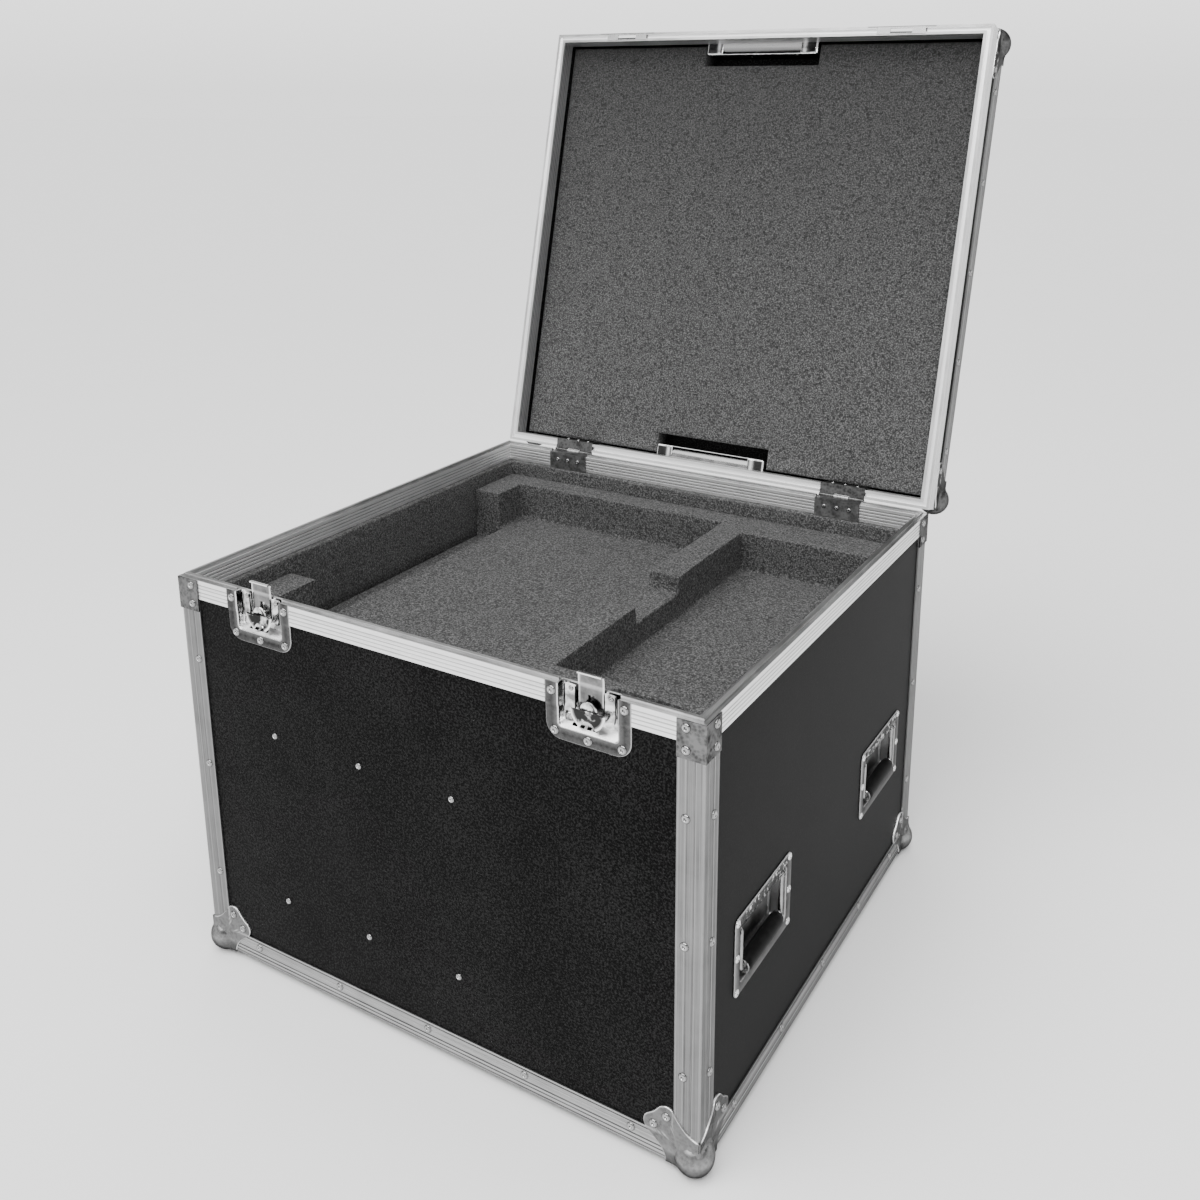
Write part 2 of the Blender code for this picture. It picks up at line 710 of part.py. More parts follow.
def build_hook(side, centre, floor):
    """The hook plate: a nose bent forward at the top and a slot for the spindle's shaft."""
    back = floor - HOOK_BACK
    front = back - HOOK_WALL
    low, high = SPINDLE_UP - HOOK_LOW, RIM_UP + HOOK_REACH
    outline = [
        (back, low), (back, high), (front - HOOK_NOSE, high), (front - HOOK_NOSE, high - HOOK_LIP),
        (front, high - HOOK_LIP), (front, low),
    ]
    carrier = new_pivot(f"latch_{side}_pull", FRONT.point(centre, back, low))
    half = HOOK_WIDTH / 2
    shape = prism(
        outline, centre - half, centre + half, lambda inset, z, along: FRONT.point(along, inset, z)
    )
    hook = piece(f"latch_{side}_hook", shape, STEEL, carrier)
    drop = HOOK_TRAVEL * math.cos(math.radians(HOOK_SLANT_DEGREES))
    wide = SHAFT_RADIUS + SHAFT_ROOM
    slot = rounded((centre - wide, SPINDLE_UP - wide), (centre + wide, SPINDLE_UP + drop + wide), wide)
    through = (front - OVERRUN, back + OVERRUN)
    cut(hook, prism(slot, *through, lambda along, z, inset: FRONT.point(along, inset, z)))


def build_handle(name, wall, centre):
    """A recessed handle: pressed dish and a bail with a ribbed rubber grip."""
    half_plate = (HANDLE_PLATE[0] / 2, HANDLE_PLATE[1] / 2)
    half_pan = (HANDLE_PAN[0] / 2, HANDLE_PAN[1] / 2)
    plate = (
        (centre - half_plate[0], HANDLE_UP - half_plate[1]),
        (centre + half_plate[0], HANDLE_UP + half_plate[1]),
    )
    pan = (
        (centre - half_pan[0], HANDLE_UP - half_pan[1]),
        (centre + half_pan[0], HANDLE_UP + half_pan[1]),
    )
    dish = pressed_dish(
        wall, plate, pan, (HANDLE_PLATE_ROUND, HANDLE_PAN_ROUND),
        SKIN - GAP - HANDLE_FACE, HANDLE_FACE, HANDLE_DEPTH, HANDLE_SKIN,
    )
    piece(f"{name}_dish", dish, STEEL)
    inside = half_pan[0] - HANDLE_SKIN - GAP
    build_bail(
        name, wall, centre, inside, pan[1][1] - HANDLE_PIVOT_DROP, HANDLE_PIVOT_INSET,
        (HANDLE_ARM, HANDLE_ROD, HANDLE_BEND, HANDLE_STUB, HANDLE_GRIP_RADIUS), None,
    )


def build_bail(name, wall, centre, inside, up, inset, sizes, pivot):
    """A bar bent to a U that swings on its two ends, with a grip on its crossbar."""
    arm, radius, bend, stub, grip_radius = sizes
    turn = new_pivot(f"{name}_swing", wall.point(centre, inset, up), pivot)
    reach = inside - bend - stub
    path = [
        wall.point(centre - inside, inset, up), wall.point(centre - reach, inset, up),
        wall.point(centre - reach, inset, up - arm), wall.point(centre + reach, inset, up - arm),
        wall.point(centre + reach, inset, up), wall.point(centre + inside, inset, up),
    ]
    bail = piece(f"{name}_bail", rod(bent(path, bend), radius), RUBBER, turn)
    grip = reach - radius - GRIP_MARGIN
    profile = [(centre - grip, radius + GAP), (centre - grip, grip_radius - GRIP_RIB_DEPTH)]
    for rib in range(2 * GRIP_RIBS + 1):
        along = centre - grip + 2 * grip * (rib + 1) / (2 * GRIP_RIBS + 2)
        profile.append((along, grip_radius if rib % 2 == 0 else grip_radius - GRIP_RIB_DEPTH))
    profile.append((centre + grip, grip_radius - GRIP_RIB_DEPTH))
    profile.append((centre + grip, radius + GAP))
    fuse(bail, turned(wall, inset, up - arm, profile))


def build_lid(pivot):
    """Shell, rim and edge angles of the lid."""
    outer_x, outer_y = CASE_WIDTH / 2 - SKIN, CASE_DEPTH / 2 - SKIN
    inner_x, inner_y = outer_x - PANEL, outer_y - PANEL
    sections = (
        (inner_x, inner_y, LID_ROOF - PANEL), (inner_x, inner_y, LID_SEAT),
        (outer_x, outer_y, LID_SEAT), (outer_x, outer_y, LID_ROOF),
    )
    shell = piece(
        "lid_shell",
        loft([[Vector((-x, -y, z)), Vector((x, -y, z)), Vector((x, y, z)), Vector((-x, y, z))]
              for x, y, z in sections]),
        LAMINATE, pivot,
    )
    rim = piece("lid_rim", ring(lid_rim_section(), LID_UP), ALUMINIUM, pivot)
    edge = piece("lid_edge_angles", ring(angle_outline(), LID_TOP, -1), ALUMINIUM, pivot)
    low, high = LID_UP - OVERRUN, LID_UP + INNER_SKIRT + OVERRUN
    for centre in LATCH_CENTRES.values():
        pan = LATCH_RECESS / 2 + LATCH_SKIN + GAP
        opening = (low, LID_UP + KEEPER_PAN_HEIGHT + GAP)
        through = (-OVERRUN, WALL_BACK + OVERRUN)
        cut(shell, wall_block(FRONT, (centre - pan, centre + pan), through, opening))
        cut_for_latch(rim, centre, low, high)
    for centre in HINGE_CENTRES.values():
        half = HINGE_WIDTH / 2 + GAP
        inset = (-OVERRUN, RIM_WIDTH + OVERRUN)
        notch = (low, LID_UP + HINGE_LEAF + GAP)
        cut(rim, wall_block(BACK, (centre - half, centre + half), inset, notch))
    for wall in (FRONT, BACK):
        cut(shell, slim_opening(wall))
        cut(edge, slim_opening(wall))


def slim_opening(wall):
    half = SLIM_PAN[0] / 2 + GAP
    up = (LID_UP + SLIM_PAN_LOW - GAP, LID_UP + SLIM_PAN_LOW + SLIM_PAN[1] + GAP)
    return wall_block(wall, (-half, half), (-OVERRUN, WALL_BACK + OVERRUN), up)


def build_keeper(side, centre, pivot):
    """The lid's half of a latch: a shallow pan with a slotted sole that the hook's nose grips."""
    face = SKIN - GAP - LATCH_PLATE
    half, recess = LATCH_WIDTH / 2, LATCH_RECESS / 2 + LATCH_SKIN
    below = LID_UP - 2 * KEEPER_ROUND
    shape = pressed_dish(
        FRONT,
        ((centre - half, below), (centre + half, LID_UP + KEEPER_HEIGHT)),
        ((centre - recess, LID_UP), (centre + recess, LID_UP + KEEPER_PAN_HEIGHT)),
        (KEEPER_ROUND, LATCH_PAN_ROUND),
        face, LATCH_PLATE, LATCH_DEPTH, LATCH_SKIN,
    )
    keeper = piece(f"latch_{side}_keeper", shape, ZINC, pivot)
    reach = half + OVERRUN
    cut(keeper, wall_block(
        FRONT, (centre - reach, centre + reach), (-OVERRUN, LATCH_DEPTH + OVERRUN), (below - OVERRUN, LID_UP)
    ))
    floor = LATCH_DEPTH - LATCH_SKIN
    fuse(keeper, wall_block(
        FRONT, (centre - recess, centre + recess), (face, LATCH_DEPTH), (LID_UP, LID_UP + KEEPER_SOLE)
    ))
    nose = floor - HOOK_BACK - HOOK_WALL - HOOK_NOSE
    slot = HOOK_WIDTH / 2 + KEEPER_SLOT_ROOM
    cut(keeper, wall_block(
        FRONT, (centre - slot, centre + slot), (nose - KEEPER_LIP_ROOM, floor),
        (LID_UP - OVERRUN, LID_UP + LATCH_PAN_ROUND),
    ))


def build_slim_handle(name, wall, pivot):
    """A slim recessed handle in one wall of the lid."""
    half = SLIM_PLATE[0] / 2
    middle = LID_UP + SLIM_PAN_LOW + SLIM_PAN[1] / 2
    rise = SLIM_PLATE[1] / 2
    pan = SLIM_PAN[0] / 2
    dish = pressed_dish(
        wall,
        ((-half, middle - rise), (half, middle + rise)),
        ((-pan, middle - SLIM_PAN[1] / 2), (pan, middle + SLIM_PAN[1] / 2)),
        (SLIM_PLATE_ROUND, SLIM_PAN_ROUND),
        -GAP - SLIM_FACE, SLIM_FACE, SLIM_DEPTH, SLIM_SKIN,
    )
    piece(f"{name}_dish", dish, STEEL, pivot)
    build_bail(
        name, wall, 0, pan - SLIM_SKIN - GAP, middle + SLIM_PAN[1] / 2 - SLIM_PIVOT_DROP, SLIM_PIVOT_INSET,
        (SLIM_ARM, SLIM_ROD, SLIM_BEND, SLIM_STUB, SLIM_GRIP_RADIUS), pivot,
    )


def leaf_outline(sense):
    """A hinge leaf seen from the side: over the rim's edge and down the inner skirt."""
    inner = RIM_WIDTH + GAP + HINGE_LEAF
    start = RIM_UP if sense < 0 else LID_UP
    points = (
        (0, 0), (inner, 0), (inner, HINGE_DROP), (inner - HINGE_LEAF, HINGE_DROP),
        (inner - HINGE_LEAF, HINGE_LEAF), (0, HINGE_LEAF),
    )
    return [(inset, start + sense * up) for inset, up in points]


def knuckle(low, high, radius):
    return turned(BACK, -HINGE_AXIS_OUT, HINGE_UP, [(low, radius), (high, radius)])


def build_hinge(side, centre, pivot):
    """Body leaf with the middle knuckle and the pin, and lid leaf with two bored knuckles."""
    half = HINGE_WIDTH / 2
    middle = KNUCKLE_MIDDLE / 2
    inset = (-HINGE_AXIS_OUT, HINGE_LEAF)

    def place(s, z, along):
        return BACK.point(along, s, z)

    body = piece(
        f"hinge_{side}_body_leaf", prism(leaf_outline(-1), centre - half, centre + half, place), ZINC
    )
    fuse(body, wall_block(BACK, (centre - middle, centre + middle), inset, (RIM_UP - HINGE_LEAF, RIM_UP)))
    fuse(body, knuckle(centre - middle, centre + middle, KNUCKLE_RADIUS))
    fuse(body, knuckle(centre - half, centre + half, PIN_RADIUS))

    lid = piece(
        f"hinge_{side}_lid_leaf", prism(leaf_outline(1), centre - half, centre + half, place), ZINC, pivot
    )
    for low, high in ((-half, -middle - KNUCKLE_GAP), (middle + KNUCKLE_GAP, half)):
        span = (centre + low, centre + high)
        fuse(lid, wall_block(BACK, span, inset, (LID_UP, LID_UP + HINGE_LEAF)))
        fuse(lid, knuckle(*span, KNUCKLE_RADIUS))
    cut(lid, knuckle(centre - half - OVERRUN, centre + half + OVERRUN, PIN_RADIUS + GAP))


def build_divider_frame():
    """The deck that carries the foam, on three boards from front to back."""
    across = CASE_WIDTH / 2 - WALL_BACK - GAP
    back = CASE_DEPTH / 2 - WALL_BACK - GAP
    low = DECK_TOP - DECK_THICKNESS
    frame = piece("divider_frame", block((-across, -back, low), (across, back, DECK_TOP)), WOOD)
    for from_left in DIVIDERS_FROM_LEFT:
        centre = from_left - CASE_WIDTH / 2
        half = DIVIDER_THICKNESS / 2
        top = low + DECK_THICKNESS / 2
        fuse(frame, block((centre - half, -back, PANEL + GAP), (centre + half, back, top)))


def across_case(shares):
    """The corners of a pocket from its shares of the case's width and depth."""
    return [(CASE_WIDTH * width_share, CASE_DEPTH * depth_share) for width_share, depth_share in shares]


def pocket(corners, top, sink):
    """A cutter for a rounded pocket in the foam bed."""
    return prism(
        rounded(*corners, POCKET_ROUND), top - sink, top + OVERRUN,
        lambda x, y, z: Vector((x, y, z)),
    )


def build_foam():
    inside_x = CASE_WIDTH / 2 - WALL_BACK - GAP
    inside_y = CASE_DEPTH / 2 - WALL_BACK - GAP
    low = DECK_TOP + GAP
    lining = piece(
        "foam_lining",
        block((-inside_x, -inside_y, low), (inside_x, inside_y, RIM_UP - INNER_SKIRT - GAP)),
        FOAM,
    )
    bed_x, bed_y = inside_x - LINING_THICKNESS, inside_y - LINING_THICKNESS
    cut(lining, block((-bed_x, -bed_y, low - OVERRUN), (bed_x, bed_y, RIM_UP)))
    for centre in HINGE_CENTRES.values():
        half = HINGE_WIDTH / 2 + GAP
        inset = (WALL_BACK - OVERRUN, RIM_WIDTH + HINGE_LEAF + 2 * GAP)
        up = (RIM_UP - HINGE_DROP - GAP, RIM_UP)
        cut(lining, wall_block(BACK, (centre - half, centre + half), inset, up))

    bed_x, bed_y = bed_x - GAP, bed_y - GAP
    top = RIM_UP - BED_DROP
    bed = piece("foam_bed", block((-bed_x, -bed_y, low), (bed_x, bed_y, top)), FOAM)
    controller, pedal = across_case(CONTROLLER_SHARES), across_case(PEDAL_SHARES)
    cut(bed, pocket(controller, top, CONTROLLER_SINK))
    cut(bed, pocket(pedal, top, PEDAL_SINK))
    cut(bed, pocket(across_case(COMPACT_SHARES), top, COMPACT_SINK))
    gap_front, gap_back = (CASE_DEPTH * share for share in HAND_GAP_SHARES)
    gap_low = (-bed_x - OVERRUN, gap_front, top - HAND_GAP_SINK)
    cut(bed, block(gap_low, (controller[0][0] + OVERRUN, gap_back, RIM_UP)))
    step_front, step_back = (CASE_DEPTH * share for share in FINGER_STEP_SHARES)
    step_low = (controller[1][0] - OVERRUN, step_front, top - FINGER_STEP_SINK)
    cut(bed, block(step_low, (pedal[0][0] + OVERRUN, step_back, RIM_UP)))


def build_lid_foam(pivot):
    half_x = CASE_WIDTH / 2 - WALL_BACK - LID_FOAM_ROOM
    half_y = CASE_DEPTH / 2 - WALL_BACK - LID_FOAM_ROOM
    low, high = LID_UP + LID_FOAM_DROP, LID_ROOF - PANEL - GAP
    foam = piece("lid_foam", block((-half_x, -half_y, low), (half_x, half_y, high)), FOAM, pivot)
    for wall in (FRONT, BACK):
        half = LID_FOAM_CUTOUT[0] / 2
        near = CASE_DEPTH / 2 - half_y
        inset = (near - OVERRUN, near + LID_FOAM_CUTOUT[1])
        cut(foam, wall_block(wall, (-half, half), inset, (low - OVERRUN, high + OVERRUN)))


def build_case():
    build_panels()
    build_edges()
    build_body_rim()
    build_ball_corners("ball_corner", CASE_BOTTOM, 1, None, None)
    for side, centre in LATCH_CENTRES.items():
        build_latch(side, centre)
    for side, wall in (("left", LEFT), ("right", RIGHT)):
        for end, centre in HANDLE_CENTRES.items():
            build_handle(f"handle_{side}_{end}", wall, centre)
    build_divider_frame()
    build_foam()

    lid_pivot = new_pivot("lid_hinge", BACK.point(0, -HINGE_AXIS_OUT, HINGE_UP))
    build_lid(lid_pivot)
    lid_height = LID_HEIGHT - OUTER_SKIRT - GAP
    build_ball_corners("lid_corner", LID_TOP, -1, lid_height, lid_pivot)
    build_lid_foam(lid_pivot)
    build_slim_handle("lid_handle_front", FRONT, lid_pivot)
    build_slim_handle("lid_handle_back", BACK, lid_pivot)
    for side, centre in LATCH_CENTRES.items():
        build_keeper(side, centre, lid_pivot)
    for side, centre in HINGE_CENTRES.items():
        build_hinge(side, centre, lid_pivot)
    lid_pivot.rotation_euler.x = -math.radians(OPEN_DEGREES)


clear_scene()
PIECES = new_collection("pedal_flight_case")
HELPERS = new_collection("cutters")
build_case()
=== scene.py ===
"""Dress of the pedal flight case.

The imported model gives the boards, the edge angles, the rims and the shape of each fitting. This
scene puts on them what the solids leave out: rolled and folded sheet edges, rivets, latch parts,
handle springs and grips, pressed ball corners, cut foam, and the finish of every surface.

Metres, +Z up, X to the right and Y to the back. A place on a side of the case is given as along,
inset (inwards from the side's face) and up. Lid pieces are worked out with the lid shut, and
Home.LID then turns them about the hinge to where the lid stands open at rest.
"""

import json
import logging
import math
from dataclasses import dataclass, field, replace
from enum import Enum
from fnmatch import fnmatchcase
from typing import Callable, Sequence

import bmesh
import bpy
import numpy as np
from mathutils import Matrix, Vector

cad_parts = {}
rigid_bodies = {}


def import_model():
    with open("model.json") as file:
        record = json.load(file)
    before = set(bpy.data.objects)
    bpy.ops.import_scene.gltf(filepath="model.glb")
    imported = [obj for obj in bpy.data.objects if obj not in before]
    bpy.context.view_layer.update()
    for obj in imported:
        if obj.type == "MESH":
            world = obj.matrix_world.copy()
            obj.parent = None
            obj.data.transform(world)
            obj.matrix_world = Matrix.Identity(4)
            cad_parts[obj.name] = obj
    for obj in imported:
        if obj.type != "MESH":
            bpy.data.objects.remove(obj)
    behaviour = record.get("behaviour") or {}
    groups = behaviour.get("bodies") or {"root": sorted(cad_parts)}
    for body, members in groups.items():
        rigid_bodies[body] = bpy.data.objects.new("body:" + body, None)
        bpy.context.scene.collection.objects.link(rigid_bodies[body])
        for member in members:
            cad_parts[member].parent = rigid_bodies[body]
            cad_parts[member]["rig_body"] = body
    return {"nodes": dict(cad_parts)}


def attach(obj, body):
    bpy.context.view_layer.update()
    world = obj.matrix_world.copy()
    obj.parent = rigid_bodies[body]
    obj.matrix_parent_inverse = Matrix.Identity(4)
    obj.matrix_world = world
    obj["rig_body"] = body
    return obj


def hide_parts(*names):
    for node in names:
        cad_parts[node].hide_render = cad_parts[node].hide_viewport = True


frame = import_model()

LOG = logging.getLogger("pedal_case")
Array = np.ndarray
Socket = bpy.types.NodeSocket
Material = bpy.types.Material
Pairs = Sequence[tuple[float, float]]
Point = tuple[float, float, float]
MIRROR = np.array([-1, 1])


def stacked(*axes: object) -> Array:
    """Points with these coordinates, whose shapes broadcast together, along a new last axis."""
    return np.stack(np.broadcast_arrays(*axes), axis=-1)


def smooth_step(value: Array) -> Array:
    """A rise from 0 to 1 as value goes from 0 to 1, level at both ends: 3 v^2 - 2 v^3."""
    share = np.clip(value, 0, 1)
    return share * share * (3 - 2 * share)


def bell(value: Array, width: float) -> Array:
    """A peak of 1 where value is 0: exp of -(value / width)^2."""
    return np.exp(-((value / width) ** 2))


def arc(start: float, end: float, count: int) -> Array:
    """Angles in radians, evenly from start to end in degrees."""
    return np.radians(np.linspace(start, end, count))


def around(count: int) -> Array:
    """Angles evenly round a circle."""
    return np.arange(count) * math.tau / count


def middles(lines: Array) -> Array:
    """The middles between neighbouring grid lines."""
    return (lines[1:] + lines[:-1]) / 2


def beside(path: Array) -> Array:
    """Unit directions on the left of a flat path: its slope (a, b), made a unit long, gives (-b, a)."""
    slope = np.gradient(path, axis=0)
    return stacked(-slope[:, 1], slope[:, 0]) / np.linalg.norm(slope, axis=1, keepdims=True)


@dataclass(frozen=True)
class CaseSize:
    """Sizes that several assemblies share."""

    half_width: float = 0.350
    half_depth: float = 0.330
    bottom: float = -0.0018
    rim_up: float = 0.5032
    lid_up: float = 0.5035
    lid_top: float = 0.5725
    hinge_y: float = 0.3333
    hinge_z: float = 0.50335
    open_degrees: float = 104.4
    skirt: float = 0.024
    skin: float = 0.0018


SIZE = CaseSize()


class Home(Enum):
    """The two shells that the fixed pieces sit on."""

    CASE = "case"
    LID = "lid"

    def settle(self, points: Array) -> Array:
        """Points worked out with the lid shut, put where they are at rest.

        A lid point at (dy, dz) from the hinge axis goes to (dy cos a + dz sin a, dz cos a - dy sin a),
        where a is the angle that the lid stands open.

        Args:
            points: Places of shape (..., 3).
        Returns:
            The same places at rest.
        """
        if self is Home.CASE:
            return points
        angle = math.radians(SIZE.open_degrees)
        y = points[..., 1] - SIZE.hinge_y
        z = points[..., 2] - SIZE.hinge_z
        back = SIZE.hinge_y + y * math.cos(angle) + z * math.sin(angle)
        up = SIZE.hinge_z + z * math.cos(angle) - y * math.sin(angle)
        return stacked(points[..., 0], back, up)


class Side(Enum):
    """The upright sides, each with its outward direction, its run and its distance from the middle."""

    FRONT = ((0.0, -1.0, 0.0), (1.0, 0.0, 0.0), SIZE.half_depth)
    BACK = ((0.0, 1.0, 0.0), (1.0, 0.0, 0.0), SIZE.half_depth)
    LEFT = ((-1.0, 0.0, 0.0), (0.0, 1.0, 0.0), SIZE.half_width)
    RIGHT = ((1.0, 0.0, 0.0), (0.0, 1.0, 0.0), SIZE.half_width)

    def crosswise(self) -> bool:
        """Whether this side runs across the case, as the front and the back do."""
        return self in (Side.FRONT, Side.BACK)

    def half_run(self) -> float:
        """Half this side's length."""
        return SIZE.half_width if self.crosswise() else SIZE.half_depth

    def place(self, along: Array, inset: Array, up: Array) -> Array:
        """Points on this side.

        Args:
            along: Distance along the side from its middle.
            inset: Distance inwards from the side's face.
            up: Height.
        Returns:
            Points of the broadcast shape of the three, with a last axis of 3.
        """
        outward, run, half = self.value
        return stacked(half - inset, along, up) @ np.array((outward, run, (0.0, 0.0, 1.0)))


@dataclass
class Skin:
    """The points and faces of a shape that isn't in the scene yet."""

    points: Array
    quads: Array
    caps: list[list[int]] = field(default_factory=list)
    # edge: each point's painted highlight and painted light, from 0 to 1, partly standing for edge wear
    edge: Array | None = None

    def put(self, place: Callable[[Array], Array]) -> "Skin":
        """The same shape with its points sent through place."""
        return replace(self, points=place(self.points))

    def edges(self) -> Array:
        """How much painted highlight and painted light each point takes, from 0 to 1, partly edge wear."""
        return np.zeros(len(self.points)) if self.edge is None else self.edge

    def wear_and_highlight(self, edge: Array) -> "Skin":
        """The same shape with its painted highlights and painted light marked, partly edge wear, where one
        face's marks serve both faces of a sheet.
        """
        return replace(self, edge=np.resize(edge, len(self.points)).astype(float))


def joined(skins: Sequence[Skin]) -> Skin:
    """Several skins as one.

    Args:
        skins: The shapes, which keep their points.
    Returns:
        One skin whose faces count on through the shapes.
    """
    starts = np.cumsum([0] + [len(skin.points) for skin in skins[:-1]])
    pairs = list(zip(skins, starts))
    quads = [skin.quads + start for skin, start in pairs]
    caps = [[int(corner + start) for corner in cap] for skin, start in pairs for cap in skin.caps]
    edge = np.concatenate([skin.edges() for skin in skins])
    return Skin(np.concatenate([skin.points for skin in skins]), np.concatenate(quads), caps, edge)


def cells(index: Array) -> Array:
    """The four corners of every cell of a grid of point numbers."""
    return np.stack([index[:-1, :-1], index[:-1, 1:], index[1:, 1:], index[1:, :-1]], axis=-1)


def lattice(grid: Array, ring: bool = False, capped: bool = True) -> Skin:
    """Quads between neighbouring rows and columns of a grid of points, where each row is a loop.

    Args:
        grid: Points of shape (rows, columns, 3).
        ring: Whether the last row joins the first.
        capped: Whether the first and last rows are filled, unless they join.
    Returns:
        The skin through the grid.
    """
    rows, columns = grid.shape[:2]
    index = np.arange(rows * columns).reshape(rows, columns)
    index = np.concatenate([index, index[:, :1]], axis=1)
    caps = []
    if ring:
        index = np.concatenate([index, index[:1]], axis=0)
    elif capped:
        caps = [list(range(columns))[::-1], list(range((rows - 1) * columns, rows * columns))]
    return Skin(grid.reshape(-1, 3), cells(index).reshape(-1, 4), caps)


def plate(front: Array, back: Array, keep: Array | None = None) -> Skin:
    """A sheet between two grids of points, closed round its rim and round every hole.

    A wall of quads joins the two grids wherever a kept cell has no kept neighbour.

    Args:
        front: Points of shape (rows, columns, 3).
        back: The matching points of the other face.
        keep: True for each cell that is material, of shape (rows - 1, columns - 1).
    Returns:
        The closed skin.
    """
    rows, columns = front.shape[:2]
    if keep is None:
        keep = np.ones((rows - 1, columns - 1), bool)
    index = np.arange(rows * columns).reshape(rows, columns)
    other = index + rows * columns
    faces = [cells(index)[keep], cells(other)[keep][:, [0, 3, 2, 1]]]
    padded = np.pad(keep, 1)
    low, high = slice(None, -1), slice(1, None)
    for neighbour, near, far in (
        (padded[:-2, 1:-1], (low, low), (low, high)), (padded[2:, 1:-1], (high, high), (high, low)),
        (padded[1:-1, :-2], (high, low), (low, low)), (padded[1:-1, 2:], (low, high), (high, high)),
    ):
        wall = np.stack([index[near], other[near], other[far], index[far]], axis=-1)
        faces.append(wall[keep & ~neighbour])
    return Skin(np.concatenate([front.reshape(-1, 3), back.reshape(-1, 3)]), np.concatenate(faces))


def sheet(front: Array, thick: float, axis: int = 1) -> Skin:
    """A plate whose back lies a thickness further along one axis."""
    return plate(front, front + thick * np.eye(3)[axis])


def lathed(profile: Pairs, sides: int, ring: bool = False) -> Skin:
    """A profile turned about the third axis.

    A point at radius r and height h goes round to (r cos a, r sin a, h).

    Args:
        profile: Pairs of radius and height from one pole to the other.
        sides: Points round the axis.
        ring: Whether the profile closes on itself.
    Returns:
        The turned skin, capped where a pole isn't a point.
    """
    radius, height = np.array(profile).T[..., None]
    angle = around(sides)
    return lattice(stacked(radius * np.cos(angle), radius * np.sin(angle), height), ring)


def rounded_loop(half_width: float, half_height: float, radius: float, steps: int = 6) -> Array:
    """Points round a rectangle with rounded corners, about (0, 0).

    Each corner is a quarter circle whose centre lies a radius in from both sides.

    Args:
        half_width: Half the rectangle's width.
        half_height: Half its height.
        radius: The corners' radius.
        steps: Steps round each corner.
    Returns:
        Points of shape (4 * (steps + 1), 2), anticlockwise from the low left corner.
    """
    turn = arc(180, 270, steps + 1)
    angle = turn[None, :] + np.radians([0, 90, 180, 270])[:, None]
    middle_x = np.array([-1, 1, 1, -1]) * (half_width - radius)
    middle_y = np.array([-1, -1, 1, 1]) * (half_height - radius)
    x = middle_x[:, None] + radius * np.cos(angle)
    y = middle_y[:, None] + radius * np.sin(angle)
    return stacked(x.ravel(), y.ravel())


def inside_rectangle(x: Array, y: Array, low: tuple, high: tuple, radius: float) -> Array:
    """How deep points lie inside a rounded rectangle, negative outside it.

    It is the radius less the distance from the point to the rectangle shrunk by that radius.

    Args:
        x: First coordinates.
        y: Second coordinates.
        low: The rectangle's low corner.
        high: Its high corner.
        radius: The corners' radius.
    Returns:
        Depths of the same shape as x.
    """
    across = np.abs(x - (low[0] + high[0]) / 2) - (high[0] - low[0]) / 2 + radius
    along = np.abs(y - (low[1] + high[1]) / 2) - (high[1] - low[1]) / 2 + radius
    outside = np.hypot(np.maximum(across, 0), np.maximum(along, 0))
    return radius - outside - np.minimum(np.maximum(across, along), 0)


def crowded(low: float, high: float, edges: Sequence[float], step: float, reach: float) -> Array:
    """Grid lines from low to high, evenly apart and crowded at each edge.

    The lines at an edge lie at reach * s * |s| from it for s from -1 to 1, so they close up towards it.

    Args:
        low: The first line.
        high: The last line.
        edges: Where lines crowd.
        step: The even spacing.
        reach: How far from an edge the crowding goes.
    Returns:
        The lines in order.
    """
    share = np.linspace(-1, 1, 17)
    near = np.add.outer(np.array(edges), reach * share * np.abs(share)).ravel()
    even = np.linspace(low, high, max(2, round((high - low) / step) + 1))
    away = np.min(np.abs(even[:, None] - np.array(edges)[None, :]), axis=1) > reach
    lines = np.concatenate([even[away], near, [low, high]])
    return np.unique(np.round(lines[(lines >= low) & (lines <= high)], 5))


